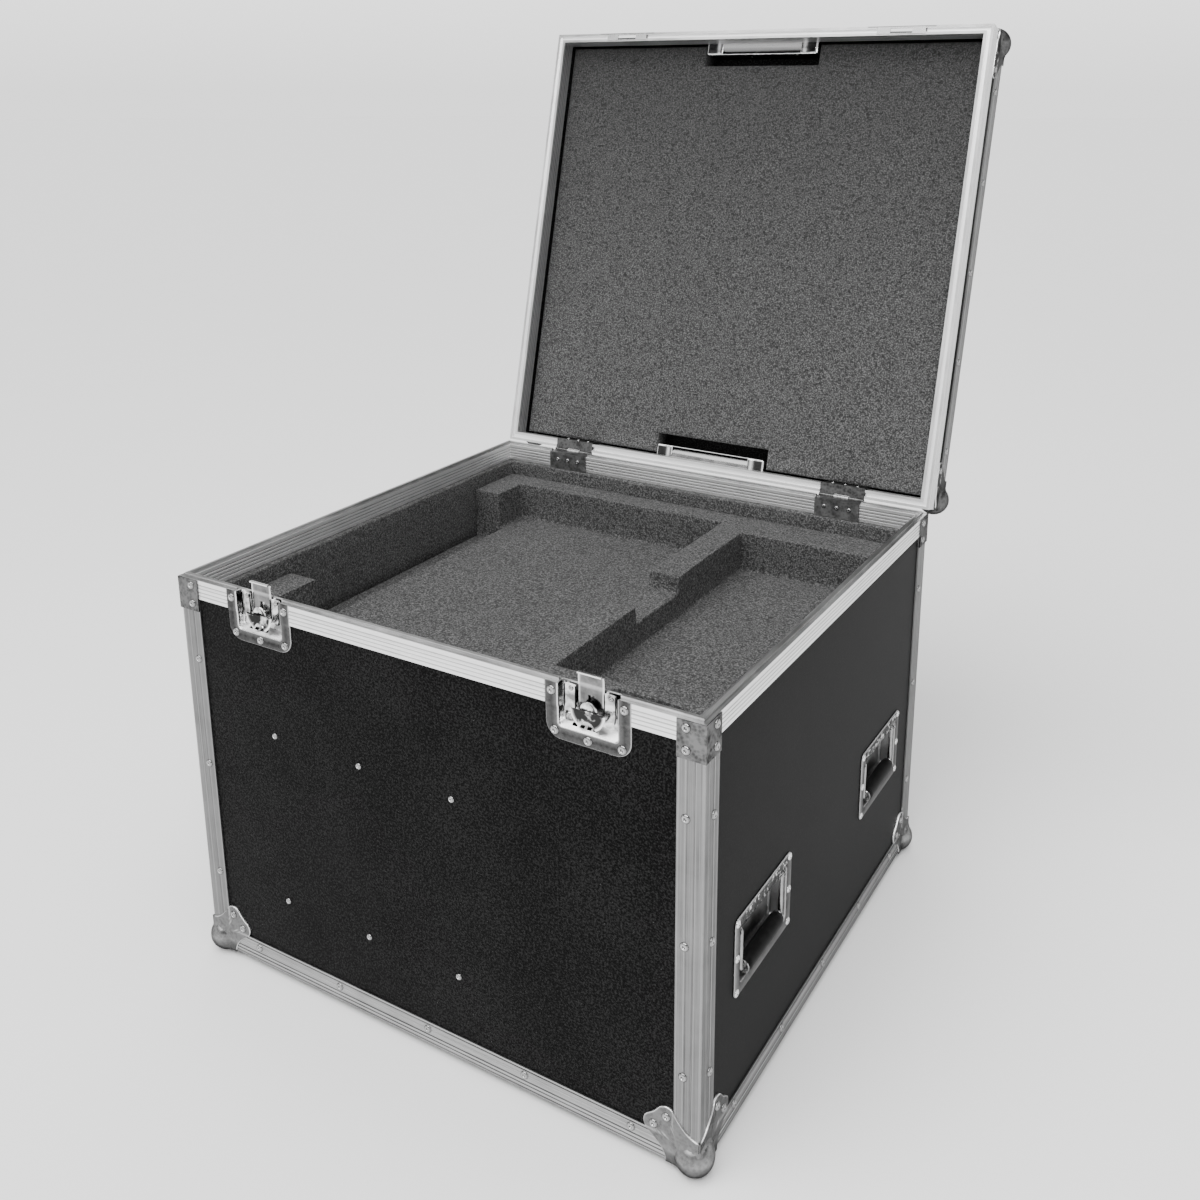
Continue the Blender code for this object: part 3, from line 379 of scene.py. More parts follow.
class Bench:
    """Adds shader nodes to one material and joins them up."""

    def __init__(self, name: str, home: Home) -> None:
        """Starts a material with a plain shader, and finds the place with the lid shut.

        The turn about the hinge axis h is R p + (h - R h), with R a turn about X by the open angle.

        Args:
            name: The material's name.
            home: The shell that it is for.
        """
        self.material = bpy.data.materials.new(name)
        self.material.use_nodes = True
        self.tree = self.material.node_tree
        self.shader = self.tree.nodes["Principled BSDF"]
        self.home = home
        self.place = self.add("TexCoord").outputs["Object"]
        if home is Home.LID:
            angle = math.radians(SIZE.open_degrees)
            axis = Vector((0, SIZE.hinge_y, SIZE.hinge_z))
            shift = axis - Matrix.Rotation(angle, 3, "X") @ axis
            turn = {"Vector": self.place, "Location": shift, "Rotation": (angle, 0, 0)}
            self.place = self.add("Mapping", turn).outputs[0]
        self.x, self.y, self.z = self.add("SeparateXYZ", {0: self.place}).outputs

    def feed(self, socket: Socket, value: object) -> None:
        """Joins a socket to another, or gives it a value.

        Args:
            socket: The input.
            value: An output to join it to, or its value.
        """
        if isinstance(value, Socket):
            self.tree.links.new(value, socket)
        else:
            socket.default_value = value

    def add(self, kind: str, inputs: dict | None = None, **settings: object) -> bpy.types.Node:
        """A new node.

        Args:
            kind: The node's type, without its prefix.
            inputs: Values or sockets by input name or number.
            settings: The node's own properties.
        Returns:
            The node.
        """
        node = self.tree.nodes.new(f"ShaderNode{kind}")
        for name, value in settings.items():
            setattr(node, name, value)
        for name, value in (inputs or {}).items():
            self.feed(node.inputs[name], value)
        return node

    def math(self, operation: str, first: object, second: object = 0.0) -> Socket:
        """The output of a Math node."""
        return self.add("Math", {0: first, 1: second}, operation=operation).outputs[0]

    def blend(self, first: object, weight: float, second: object, share: float = 1.0) -> Socket:
        """The sum of two values, the first times its weight and the second times its share."""
        return self.math("ADD", self.math("MULTIPLY", first, weight), self.math("MULTIPLY", second, share))

    def noise(
        self, scale: float, detail: float = 2.0, roughness: float = 0.5, stretch: Point | None = None
    ) -> Socket:
        """The grey output of a noise texture over the place.

        Args:
            scale: Its waves per metre.
            detail: How many finer layers it has.
            roughness: How strong they are.
            stretch: The place's own scale along each axis, if it has one.
        Returns:
            The output.
        """
        place = self.place
        if stretch:
            place = self.add("Mapping", {"Vector": place, "Scale": stretch}).outputs[0]
        inputs = {"Vector": place, "Scale": scale, "Detail": detail, "Roughness": roughness}
        return self.add("TexNoise", inputs).outputs[0]

    def ramp(self, factor: object, stops: Sequence[tuple[float, object]]) -> Socket:
        """A colour ramp.

        Args:
            factor: What is read.
            stops: Pairs of position and grey level, or of position and colour.
        Returns:
            The ramp's colour.
        """
        node = self.add("ValToRGB", {0: factor})
        set_stops(node.color_ramp.elements, stops)
        return node.outputs[0]

    def over(self, factor: object, colour: object, grey: float) -> Socket:
        """A colour that goes over to a grey where the factor is 1.

        Args:
            factor: The grey's share.
            colour: The colour where it is 0.
            grey: The grey's level.
        Returns:
            The mixed colour.
        """
        mix = self.add("Mix", {"Factor": factor}, data_type="RGBA")
        self.feed(mix.inputs[6], colour)
        self.feed(mix.inputs[7], (grey, grey, grey, 1))
        return mix.outputs[2]

    def edge(self, colour: object, shine: float) -> Socket:
        """A colour that goes over to a bright metal where the piece's edge attribute is 1: a painted
        highlight, partly edge wear.
        """
        return self.over(self.add("Attribute", attribute_name="edge").outputs["Fac"], colour, shine)

    def bump(self, height: object, distance: float) -> None:
        """Raises the surface by a height from 0 to 1 times a distance."""
        inputs = {"Height": height, "Distance": distance, "Strength": 1.0}
        self.feed(self.shader.inputs["Normal"], self.add("Bump", inputs).outputs[0])

    def finish(
        self, colour: object, factor: Socket, rough: tuple[float, float], metallic: float = 0.0,
        graze: float = 1.0, shine: float = 0.5, span: tuple[float, float] = (0.3, 0.7),
    ) -> Material:
        """Sets the shader's main sockets.

        Args:
            colour: The base colour.
            factor: What the roughness follows.
            rough: How blurred reflections are at the two ends of the span.
            metallic: 1 for metal and 0 for the rest.
            graze: How much a metal mirrors when seen edge-on.
            shine: How much the rest mirrors.
            span: The factor at the two ends.
        Returns:
            The material.
        """
        for name, value in (
            ("Base Color", colour), ("Roughness", self.ramp(factor, tuple(zip(span, rough)))),
            ("Metallic", metallic), ("Specular Tint", (graze, graze, graze, 1)),
            ("Specular IOR Level", shine),
        ):
            self.feed(self.shader.inputs[name], value)
        return self.material


def set_stops(elements: object, stops: Sequence[tuple[float, object]]) -> None:
    """Gives a ramp its stops.

    Args:
        elements: The ramp's elements, of which it starts with two.
        stops: Pairs of position and grey level, or of position and colour.
    """
    while len(elements) < len(stops):
        elements.new(0.5)
    for element, (position, tone) in zip(elements, stops):
        element.position = position
        element.color = (*tone, 1) if isinstance(tone, tuple) else (tone, tone, tone, 1)


class Surface:
    """A finish, which paints a material of its own for each home."""

    def build(self, name: str, home: Home) -> Material:
        """The material for one home."""
        return self.paint(Bench(name, home))

    def paint(self, bench: Bench) -> Material:
        """The finish's nodes on a bench.

        Args:
            bench: Where its nodes go.
        Returns:
            The material.
        """
        raise NotImplementedError


@dataclass(frozen=True)
class Laminate(Surface):
    """Black textured laminate: a worm-like grain with pale specks, partly dust and partly painted glints."""

    black: float = 0.0005
    grey: float = 0.0150
    speck: float = 0.16
    grain: float = 0.00025
    shine: float = 0.035

    def paint(self, bench: Bench) -> Material:
        """Grey worms on black, and a speck where a finer noise peaks, both uneven by patches.

        Args:
            bench: Where its nodes go.
        Returns:
            The material.
        """
        worms, patches = bench.noise(420, 2, 0.65), bench.noise(9, 4, 0.6)
        bench.bump(bench.blend(bench.noise(1300), 0.3, worms), self.grain)
        tone = bench.blend(worms, 0.85, patches, 0.15)
        base = bench.ramp(tone, [(0.42, self.black), (0.50, self.grey * 0.30), (0.60, self.grey)])
        # The pale specks stand partly for dust and partly for painted glints of light off the grain.
        scatter = bench.blend(bench.noise(640, 1), 0.8, patches, 0.2)
        colour = bench.over(bench.ramp(scatter, [(0.72, 0.0), (0.76, 1.0)]), base, self.speck)
        return bench.finish(colour, worms, (0.44, 0.52), shine=self.shine)


class Run(Enum):
    """The way that draw lines run: their stretch, and the weight and shift of the ridges' tone."""

    UPRIGHT = ((900.0, 900.0, 5.0), 0.34, -0.16)
    LEVEL = ((5.0, 5.0, 900.0), 0.50, -0.06)


@dataclass(frozen=True)
class Extrusion(Surface):
    """Drawn aluminium: fine lines along its length and ridges across its face."""

    dark: float
    pale: float
    ridges: Pairs
    level: float
    sense: float
    reach: float = 0.030
    height: float = 0.00035
    graze: float = 0.45
    run: Run = Run.LEVEL

    def across(self, bench: Bench, inwards: Socket, scale: float) -> Socket:
        """Ridge height by a distance times a scale, whose 1 is the section's far edge."""
        return bench.ramp(bench.math("MULTIPLY", inwards, scale), self.ridges)

    def paint(self, bench: Bench) -> Material:
        """Ridges by the height or, on a post, by the way in from both its sides, with lines and smudges.

        Args:
            bench: Where its nodes go.
        Returns:
            The material.
        """
        stretch, weight, shift = self.run.value
        if self.run is Run.UPRIGHT:
            sides = ((bench.x, SIZE.half_width), (bench.y, SIZE.half_depth))
            inwards = [bench.math("SUBTRACT", half, bench.math("ABSOLUTE", axis)) for axis, half in sides]
            ridge = bench.math("ADD", *[self.across(bench, way, 1 / self.reach) for way in inwards])
        else:
            ridge = self.across(bench, bench.math("SUBTRACT", bench.z, self.level), self.sense / self.reach)
        streak, smudge = bench.noise(1, 3, 0.6, stretch), bench.noise(24, 4, 0.6)
        bench.bump(bench.blend(streak, 0.18, ridge), self.height)
        # The ridges also set the tone: painted highlights on their crests and painted shade in their grooves,
        # besides the bump.
        lines = bench.math("ADD", bench.math("MULTIPLY", ridge, weight), shift)
        tone = bench.math("ADD", bench.blend(streak, 0.42, smudge, 0.18), lines)
        stops = [(0.38, self.dark), (0.50, (self.dark + self.pale) / 2), (0.66, self.pale)]
        return bench.finish(bench.ramp(tone, stops), tone, (0.26, 0.40), 1.0, self.graze)


@dataclass(frozen=True)
class Zinc(Surface):
    """Dull zinc plate on pressed steel: soft clouds and a slight orange peel.

    On the case, painted shade darkens it from the floor up, with a painted highlight as a pale band
    above, by a ramp over the height; climb gives that height's scale and shift. On the lid the same
    setting darkens the whole.
    """

    dark: float = 0.15
    pale: float = 0.25
    wear_and_highlight: float = 0.80
    rough: float = 0.32
    peel: float = 0.00010
    graze: float = 0.35
    painted_shade: float = 0.0
    climb: tuple[float, float] = (30.0, 0.36)
    lid_share: float = 0.7

    def paint(self, bench: Bench) -> Material:
        """Clouds and spangles in the tone, then the painted shade and highlight by height, then the edges'
        painted highlights and wear.

        Args:
            bench: Where its nodes go.
        Returns:
            The material.
        """
        clouds = bench.noise(70, 4, 0.6)
        spangle = bench.add("TexVoronoi", {"Vector": bench.place, "Scale": 260}, feature="F1").outputs[0]
        bench.bump(bench.blend(clouds, 1.4, bench.noise(420)), self.peel)
        tone = bench.blend(clouds, 0.8, spangle, 0.3)
        colour = bench.ramp(tone, [(0.38, self.dark), (0.66, self.pale)])
        # Painted shade under the case's balls, darkest at the floor, and a painted highlight as the pale band
        # at 1.30; on the lid the whole is darkened.
        if self.painted_shade and bench.home is Home.CASE:
            scale, shift = self.climb
            climb = bench.math("ADD", bench.math("MULTIPLY", bench.z, scale), shift)
            stops = [(0.0, 1 - self.painted_shade), (0.36, 0.50), (0.60, 0.75), (0.74, 1.30), (0.92, 1.0)]
            colour = bench.math("MULTIPLY", colour, bench.ramp(climb, stops))
        elif self.painted_shade:
            colour = bench.math("MULTIPLY", colour, 1 - self.painted_shade * self.lid_share)
        rough = (self.rough - 0.06, self.rough + 0.10)
        return bench.finish(bench.edge(colour, self.wear_and_highlight), clouds, rough, 1.0, self.graze)


@dataclass(frozen=True)
class BrightPlate(Surface):
    """Bright zinc plate on stamped sheet: waves crumple what it mirrors, and clouds of tone cover it, partly
    stains and partly painted reflections.
    """

    dark: float = 0.60
    pale: float = 0.86
    wear_and_highlight: float = 0.92
    wave: float = 0.00055
    rough: float = 0.10
    clouds: float = 60.0
    split: tuple[float, float] = (0.3, 0.7)
    graze: float = 0.5

    def paint(self, bench: Bench) -> Material:
        """Clouds from dark to pale across the split, partly stains and partly painted reflections, over waves
        with a fine grain.

        Args:
            bench: Where its nodes go.
        Returns:
            The material.
        """
        bench.bump(bench.blend(bench.noise(900), 0.02, bench.noise(95, 1.5)), self.wave)
        smudge = bench.noise(self.clouds, 3, 0.6)
        stain_and_reflection = bench.ramp(smudge, [(self.split[0], self.dark), (self.split[1], self.pale)])
        rough = (self.rough, self.rough + 0.12)
        return bench.finish(bench.edge(stain_and_reflection, self.wear_and_highlight), smudge, rough, 1.0, self.graze)


@dataclass(frozen=True)
class KeeperPlate(Surface):
    """Plated steel: bright on the sole that meets the rim, satin on the flange, and darkened in the pan as
    painted shade.
    """

    sole: float = 0.48
    pan: float = 0.035
    flange: float = 0.20
    sole_depth: float = 0.0010
    flange_depth: float = 0.0012
    wave: float = 0.00008

    def paint(self, bench: Bench) -> Material:
        """The region is 0 on the flange, 0.5 on the sole and 1 in the pan, by two tests of the place.

        Args:
            bench: Where its nodes go.
        Returns:
            The material.
        """
        inwards = bench.math("GREATER_THAN", bench.y, self.flange_depth - SIZE.half_depth)
        above = bench.math("GREATER_THAN", bench.z, SIZE.lid_up + self.sole_depth)
        region = bench.blend(inwards, 0.5, bench.math("MULTIPLY", inwards, above), 0.5)
        # Painted shade: the pan inside the case is much darker than the flange and the sole.
        colour = bench.ramp(region, [(0.2, self.flange), (0.3, self.sole), (0.7, self.sole), (0.8, self.pan)])
        bench.bump(bench.noise(95, 1.5), self.wave)
        return bench.finish(colour, bench.noise(60, 3, 0.6), (0.22, 0.36), 1.0, 0.3)


@dataclass(frozen=True)
class Rubber(Surface):
    """Black rubber with a fine skin and handling wear."""

    black: float = 0.004
    wear_and_highlight: float = 0.010
    shine: float = 0.05
    skin: float = 0.00005

    def paint(self, bench: Bench) -> Material:
        """Wear in soft clouds, over a fine skin.

        Args:
            bench: Where its nodes go.
        Returns:
            The material.
        """
        bench.bump(bench.noise(1400, 3), self.skin)
        wear = bench.noise(90, 4, 0.6)
        colour = bench.ramp(wear, [(0.4, self.black), (0.75, self.wear_and_highlight)])
        return bench.finish(colour, wear, (0.34, 0.48), shine=self.shine)


@dataclass(frozen=True)
class CutFoam(Surface):
    """Dark grey foam cut open: worm-like ribs, black hollows and light specks.

    In the lid it goes from front to back by a share of its tone, as the photograph's light does.
    """

    black: float = 0.010
    grey: float = 0.037
    pale: float = 0.12
    front: float = 0.36
    back: float = 1.16
    depth: float = 0.0011

    def paint(self, bench: Bench) -> Material:
        """Ribs where a noise passes its middle, and specks where a finer one peaks.

        Args:
            bench: Where its nodes go.
        Returns:
            The material.
        """
        ribs, speck = bench.noise(210, 2, 0.6), bench.noise(520, 1)
        middle = bench.math("ABSOLUTE", bench.math("SUBTRACT", ribs, 0.5))
        bench.bump(bench.blend(speck, 0.3, ribs), self.depth)
        stops = [(0.10, self.black), (0.30, self.grey * 0.7), (0.42, self.grey * 1.5), (0.60, self.pale)]
        colour = bench.ramp(bench.blend(speck, 0.9, middle, -1.6), stops)
        if bench.home is Home.LID:
            back = bench.math("ADD", bench.math("MULTIPLY", bench.y, 0.5 / SIZE.half_depth), 0.5)
            fall = bench.ramp(back, [(0.0, self.front), (0.85, self.back)])
            colour = bench.math("MULTIPLY", colour, fall)
        return bench.finish(colour, ribs, (0.92, 1.0))


@dataclass(frozen=True)
class Plywood(Surface):
    """Bare birch board with long grain."""

    pale: Point = (0.56, 0.42, 0.26)
    dark: Point = (0.34, 0.23, 0.13)
    stretch: Point = (120, 6, 120)
    depth: float = 0.00012

    def paint(self, bench: Bench) -> Material:
        """Grain from a noise drawn out along the board.

        Args:
            bench: Where its nodes go.
        Returns:
            The material.
        """
        grain = bench.noise(1, 5, 0.6, self.stretch)
        bench.bump(grain, self.depth)
        return bench.finish(bench.ramp(grain, [(0.35, self.pale), (0.7, self.dark)]), grain, (0.5, 0.68))


@dataclass(frozen=True)
class Floor(Surface):
    """Matt studio floor."""

    white: float = 0.90
    dim: float = 0.99

    def paint(self, bench: Bench) -> Material:
        """Very faint clouds.

        Args:
            bench: Where its nodes go.
        Returns:
            The material.
        """
        cloud, span = bench.noise(3, 3), (0.2, 0.8)
        colour = bench.ramp(cloud, tuple(zip(span, (self.white * self.dim, self.white))))
        return bench.finish(colour, cloud, (0.75, 0.85), span=span)


class Finish(Enum):
    """Every finish on the case, by name."""

    LAMINATE = Laminate()
    # A lighter, more even copy of the laminate for the side panels: painted sheen that they catch, with fewer
    # specks.
    SIDE_LAMINATE = Laminate(black=0.005, grey=0.0105, speck=0.02, grain=0.00008, shine=0.03)
    TRIM_ZINC = Zinc(dark=0.060, pale=0.18, rough=0.28)
    HINGE_ZINC = Zinc(dark=0.17, pale=0.34, rough=0.34)
    # A darker copy of the hinge zinc for the lid's leaves: painted shade.
    LID_LEAF = Zinc(dark=0.035, pale=0.11, rough=0.36)
    BALL_ZINC = Zinc(dark=0.13, pale=0.21, rough=0.28, peel=0.00007, painted_shade=0.65)
    FLANGE_ZINC = Zinc(dark=0.032, pale=0.065, rough=0.26, peel=0.00006)
    HANDLE_ZINC = Zinc(dark=0.07, pale=0.13, rough=0.42, peel=0.00006)
    BRIGHT = BrightPlate(dark=0.20, pale=0.92, split=(0.40, 0.58))
    SILL = BrightPlate(dark=0.50, pale=0.95, wave=0.00010, rough=0.30)
    WING = BrightPlate(dark=0.03, pale=0.75, rough=0.06, clouds=80.0, split=(0.52, 0.66))
    HOOK = BrightPlate(dark=0.07, pale=0.28, wave=0.00010, rough=0.16)
    ROD = BrightPlate(dark=0.22, pale=0.36, wave=0.00002, rough=0.12)
    KEEPER = KeeperPlate()
    # Painted reflection: the brow's near-black and near-white patches stand for crinkled reflections, over
    # its real dents.
    BROW = BrightPlate(
        dark=0.11, pale=0.95, wave=0.0005, rough=0.12, clouds=170.0, split=(0.53, 0.61), graze=0.35
    )
    RIVET = BrightPlate(dark=0.18, pale=0.27, wave=0.00001, rough=0.10)
    STUD = BrightPlate(dark=0.55, pale=0.90, wave=0.00001, rough=0.12)
    TROUGH = BrightPlate(dark=0.014, pale=0.035, wave=0.00006, rough=0.16, graze=0.3)
    RUBBER = Rubber()
    FOAM = CutFoam()
    PLYWOOD = Plywood()

    def material(self, home: Home) -> Material:
        """This finish as a material for one home, made once."""
        name = f"{self.name.lower()}_{home.value}"
        return bpy.data.materials.get(name) or self.value.build(name, home)


# Ridge heights across a section, from its near edge at 0 to its far edge at 1; besides the bump they paint
# light and dark lines into the tone, as painted highlights and painted shade.
TRIM_RIDGES = (
    (0.00, 0.55), (0.05, 1.0), (0.10, 0.6), (0.28, 0.55), (0.32, 1.0), (0.37, 0.35), (0.42, 0.6),
    (0.58, 0.55), (0.63, 0.30), (0.68, 1.0), (0.73, 0.55), (0.90, 0.6), (0.95, 1.0), (1.00, 0.3),
)
BASE_RIDGES = (
    (0.00, 0.30), (0.04, 1.0), (0.10, 0.1), (0.15, 0.9), (0.21, 0.9), (0.26, 0.1), (0.31, 0.9),
    (0.37, 0.9), (0.42, 0.1), (0.47, 0.8), (0.84, 0.7), (0.89, 0.1), (0.94, 1.0), (1.00, 0.6),
)
RIM_RIDGES = (
    (0.00, 0.4), (0.03, 1.0), (0.20, 1.0), (0.25, 0.1), (0.30, 0.9), (0.38, 0.9), (0.43, 0.2), (0.48, 0.9),
    (0.57, 0.9), (0.62, 0.2), (0.67, 0.9), (0.76, 0.9), (0.81, 0.2), (0.86, 0.9), (0.97, 0.8),
)


class Drawn(Enum):
    """The drawn aluminium sections, each with its tone and ridges."""

    BASE = Extrusion(0.08, 0.46, BASE_RIDGES, SIZE.bottom, 1.0, graze=0.15)
    POST = Extrusion(0.095, 0.30, TRIM_RIDGES, SIZE.bottom, 1.0, run=Run.UPRIGHT)
    RIM = Extrusion(0.40, 0.95, RIM_RIDGES, SIZE.rim_up, -1.0, SIZE.skirt)
    LID_RIM = Extrusion(0.40, 0.95, RIM_RIDGES, SIZE.lid_up, 1.0, SIZE.skirt)
    LID_EDGE = Extrusion(0.08, 0.44, BASE_RIDGES, SIZE.lid_top, -1.0, graze=0.15)

    def material(self, home: Home) -> Material:
        """This section's material, made once."""
        name = f"{self.name.lower()}_extrusion"
        return bpy.data.materials.get(name) or self.value.build(name, home)


def in_scene(name: str, data: bpy.types.ID) -> bpy.types.Object:
    """A new object of some data, in the scene at the origin.

    Args:
        name: Its name.
        data: Its mesh, camera or light.
    Returns:
        The object.
    """
    made = bpy.data.objects.new(name, data)
    bpy.context.scene.collection.objects.link(made)
    return made


def make_piece(
    name: str, skin: Skin, finish: Finish, home: Home = Home.CASE, body: str = "",
    slot: str = "bright_plate", replaces: Sequence[str] = (), sharp: float = 40.0, bevel: float = 0.0,
) -> bpy.types.Object:
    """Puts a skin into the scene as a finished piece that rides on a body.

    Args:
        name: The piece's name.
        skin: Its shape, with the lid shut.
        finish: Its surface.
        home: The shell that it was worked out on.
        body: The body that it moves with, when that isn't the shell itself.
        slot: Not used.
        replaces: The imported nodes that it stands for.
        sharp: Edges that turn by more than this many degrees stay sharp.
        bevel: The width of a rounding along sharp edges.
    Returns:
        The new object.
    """
    body = body or home.value
    mesh = bpy.data.meshes.new(name)
    faces = skin.quads.tolist() + skin.caps
    mesh.from_pydata(home.settle(skin.points).tolist(), [], faces)
    # The edge attribute paints highlights and light onto the piece, and partly edge wear.
    mesh.attributes.new("edge", "FLOAT", "POINT").data.foreach_set("value", skin.edges().astype(np.float32))
    shape = bmesh.new()
    shape.from_mesh(mesh)
    bmesh.ops.remove_doubles(shape, verts=shape.verts, dist=1e-6)
    bmesh.ops.dissolve_degenerate(shape, edges=shape.edges, dist=1e-7)
    bmesh.ops.recalc_face_normals(shape, faces=shape.faces)
    shape.to_mesh(mesh)
    shape.free()
    mesh.shade_smooth()
    mesh.set_sharp_from_angle(angle=math.radians(sharp))
    mesh.materials.append(finish.material(home))
    made = in_scene(name, mesh)
    if bevel:
        rounding = made.modifiers.new("rounding", "BEVEL")
        rounding.width = bevel
        rounding.segments = 2
        rounding.limit_method = "ANGLE"
        rounding.angle_limit = math.radians(50)
    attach(made, body)
    if replaces:
        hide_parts(*replaces)
    LOG.info("%s: %d faces on %s", name, len(mesh.polygons), body)
    return made


@dataclass(frozen=True)
class Spot:
    """A rivet's place, with the lid shut, and the direction that its head faces."""

    origin: tuple[float, float, float]
    facing: tuple[float, float, float]


def on_side(side: Side, along: float, inset: float, up: float) -> Spot:
    """A spot on an upright side, facing outwards."""
    return Spot(tuple(side.place(along, inset, up)), side.value[0])


def on_level(side: Side, along: float, inset: float, up: float, facing: float) -> Spot:
    """A spot on a level face, placed from an upright side and facing up or down."""
    return Spot(tuple(side.place(along, inset, up)), (0.0, 0.0, facing))


@dataclass
class Rivets:
    """Domed tube rivets, all of one size, as one piece."""

    radius: float = 0.0050
    height: float = 0.0019
    sides: int = 18
    sunk: float = 0.0003
    wear_and_highlight: float = 0.4
    crown: float = 0.97
    shares: Pairs = (
        (0.0, 0.22), (0.20, 0.25), (0.29, 0.62), (0.38, 0.95), (0.50, 1.0), (0.64, 0.93), (0.80, 0.74),
        (0.93, 0.42), (1.0, 0.08),
    )

    def head(self) -> Skin:
        """One head standing on (0, 0, 0): a hollow, a crown and an edge, turned about its axis."""
        profile = [(self.radius * across, self.height * up) for across, up in self.shares]
        return lathed(profile + [(self.radius, -self.sunk), (0.0, -self.sunk)], self.sides)

    def skin(self, spots: Sequence[Spot]) -> Skin:
        """Heads at every spot.

        A head's point (a, b, c) goes to the spot plus a and b along two directions square to its
        facing, plus c along its facing.

        Args:
            spots: Where the heads stand.
        Returns:
            All the heads as one skin.
        """
        head = self.head()
        origin = np.array([spot.origin for spot in spots])
        facing = np.array([spot.facing for spot in spots])
        guide = np.where(np.abs(facing[:, 2:]) > 0.7, [[1.0, 0.0, 0.0]], [[0.0, 0.0, 1.0]])
        first = np.cross(guide, facing)
        first /= np.linalg.norm(first, axis=1, keepdims=True)
        points = origin[:, None] + head.points @ np.stack([first, np.cross(facing, first), facing], axis=1)
        quads = head.quads + np.arange(len(spots))[:, None, None] * len(head.points)
        # Painted highlight: a bright ring at the crown of each head.
        edge = self.wear_and_highlight * bell(head.points[:, 2] / self.height - self.crown, 0.05)
        return Skin(points.reshape(-1, 3), quads.reshape(-1, 4)).wear_and_highlight(edge)


@dataclass
class CaseFasteners:
    """The rivets and screws of the case and the lid."""

    from_edge: float = 0.020
    post_heights: tuple[float, ...] = (0.400, 0.260, 0.108)
    brace_drops: tuple[float, ...] = (0.008, 0.031)
    brace_rise: float = 0.0015
    front_pitch: tuple[float, ...] = (-0.270, -0.135, 0.0, 0.135, 0.270)
    side_pitch: tuple[float, ...] = (-0.250, -0.125, 0.0, 0.125, 0.250)
    handle_half: float = 0.1
    ear_pairs: Pairs = ((0.053, 0.038), (0.038, 0.053))
    ear_rise: float = 0.0007
    screw_acrosses: tuple[float, ...] = (-0.213, -0.0835, 0.0475)
    screw_heights: tuple[float, ...] = (0.3292, 0.1067)
    screws: Rivets = field(default_factory=lambda: Rivets(0.0040, 0.0016))

    def pitch(self, side: Side) -> tuple[float, ...]:
        """Where the trim rivets of a side stand."""
        return self.front_pitch if side.crosswise() else self.side_pitch

    def trims(self) -> list[Spot]:
        """Rivets through the posts, braces and base trims.

        Returns:
            Their spots.
        """
        spots = []
        for side in Side:
            for end in (-1, 1):
                along = end * (side.half_run() - self.from_edge)
                spots += [on_side(side, along, 0.0, up) for up in self.post_heights]
                heights = [SIZE.rim_up - drop for drop in self.brace_drops]
                spots += [on_side(side, along, -self.brace_rise, up) for up in heights]
            spots += [on_side(side, along, 0.0, SIZE.bottom + self.from_edge) for along in self.pitch(side)]
        return spots

    def underside(self) -> list[Spot]:
        """Rivets through the base trims from below."""
        places = [(side, along) for side in Side for along in self.pitch(side)]
        return [on_level(side, along, self.from_edge, SIZE.bottom, -1.0) for side, along in places]

    def ears(self, level: float, sense: float, pairs: Pairs) -> list[Spot]:
        """Rivets in the ball corners' ears on the four upright sides, and on the level face.

        Args:
            level: The height of the corners' level face.
            sense: 1 where the corner stands up from that level, and -1 where it hangs down.
            pairs: The upright ears' rivets, by their distances from the upright edge and from the level.
        Returns:
            Their spots.
        """
        upright = [
            on_side(side, end * (side.half_run() - across), -self.ear_rise, level + sense * height)
            for side in Side for end in (-1, 1) for across, height in pairs
        ]
        flat = [
            on_level(side, right * (SIZE.half_width - across), deep, level - sense * self.ear_rise, -sense)
            for right in (-1, 1) for side in (Side.FRONT, Side.BACK) for across, deep in self.ear_pairs
        ]
        return upright + flat

    def lid_trims(self) -> list[Spot]:
        """Rivets through the lid's edge angles, on the top and on the upright sides clear of a handle.

        Returns:
            Their spots.
        """
        spots = []
        for side in Side:
            for along in self.pitch(side):
                if not side.crosswise() or abs(along) >= self.handle_half:
                    spots.append(on_side(side, along, 0.0, SIZE.lid_top - self.from_edge))
                spots.append(on_level(side, along, self.from_edge, SIZE.lid_top, 1.0))
        return spots

    def build(self) -> None:
        """All the fasteners of both shells."""
        case_spots = self.trims() + self.underside() + self.ears(SIZE.bottom, 1.0, self.ear_pairs)
        lid_spots = self.lid_trims() + self.ears(SIZE.lid_top, -1.0, self.ear_pairs[:1])
        screws = [(along, up) for up in self.screw_heights for along in self.screw_acrosses]
        screw_spots = [on_side(Side.FRONT, along, SIZE.skin, up) for along, up in screws]
        make_piece("case_rivets", Rivets().skin(case_spots), Finish.RIVET)
        make_piece("lid_rivets", Rivets().skin(lid_spots), Finish.RIVET, Home.LID)
        make_piece("front_screws", self.screws.skin(screw_spots), Finish.RIVET)


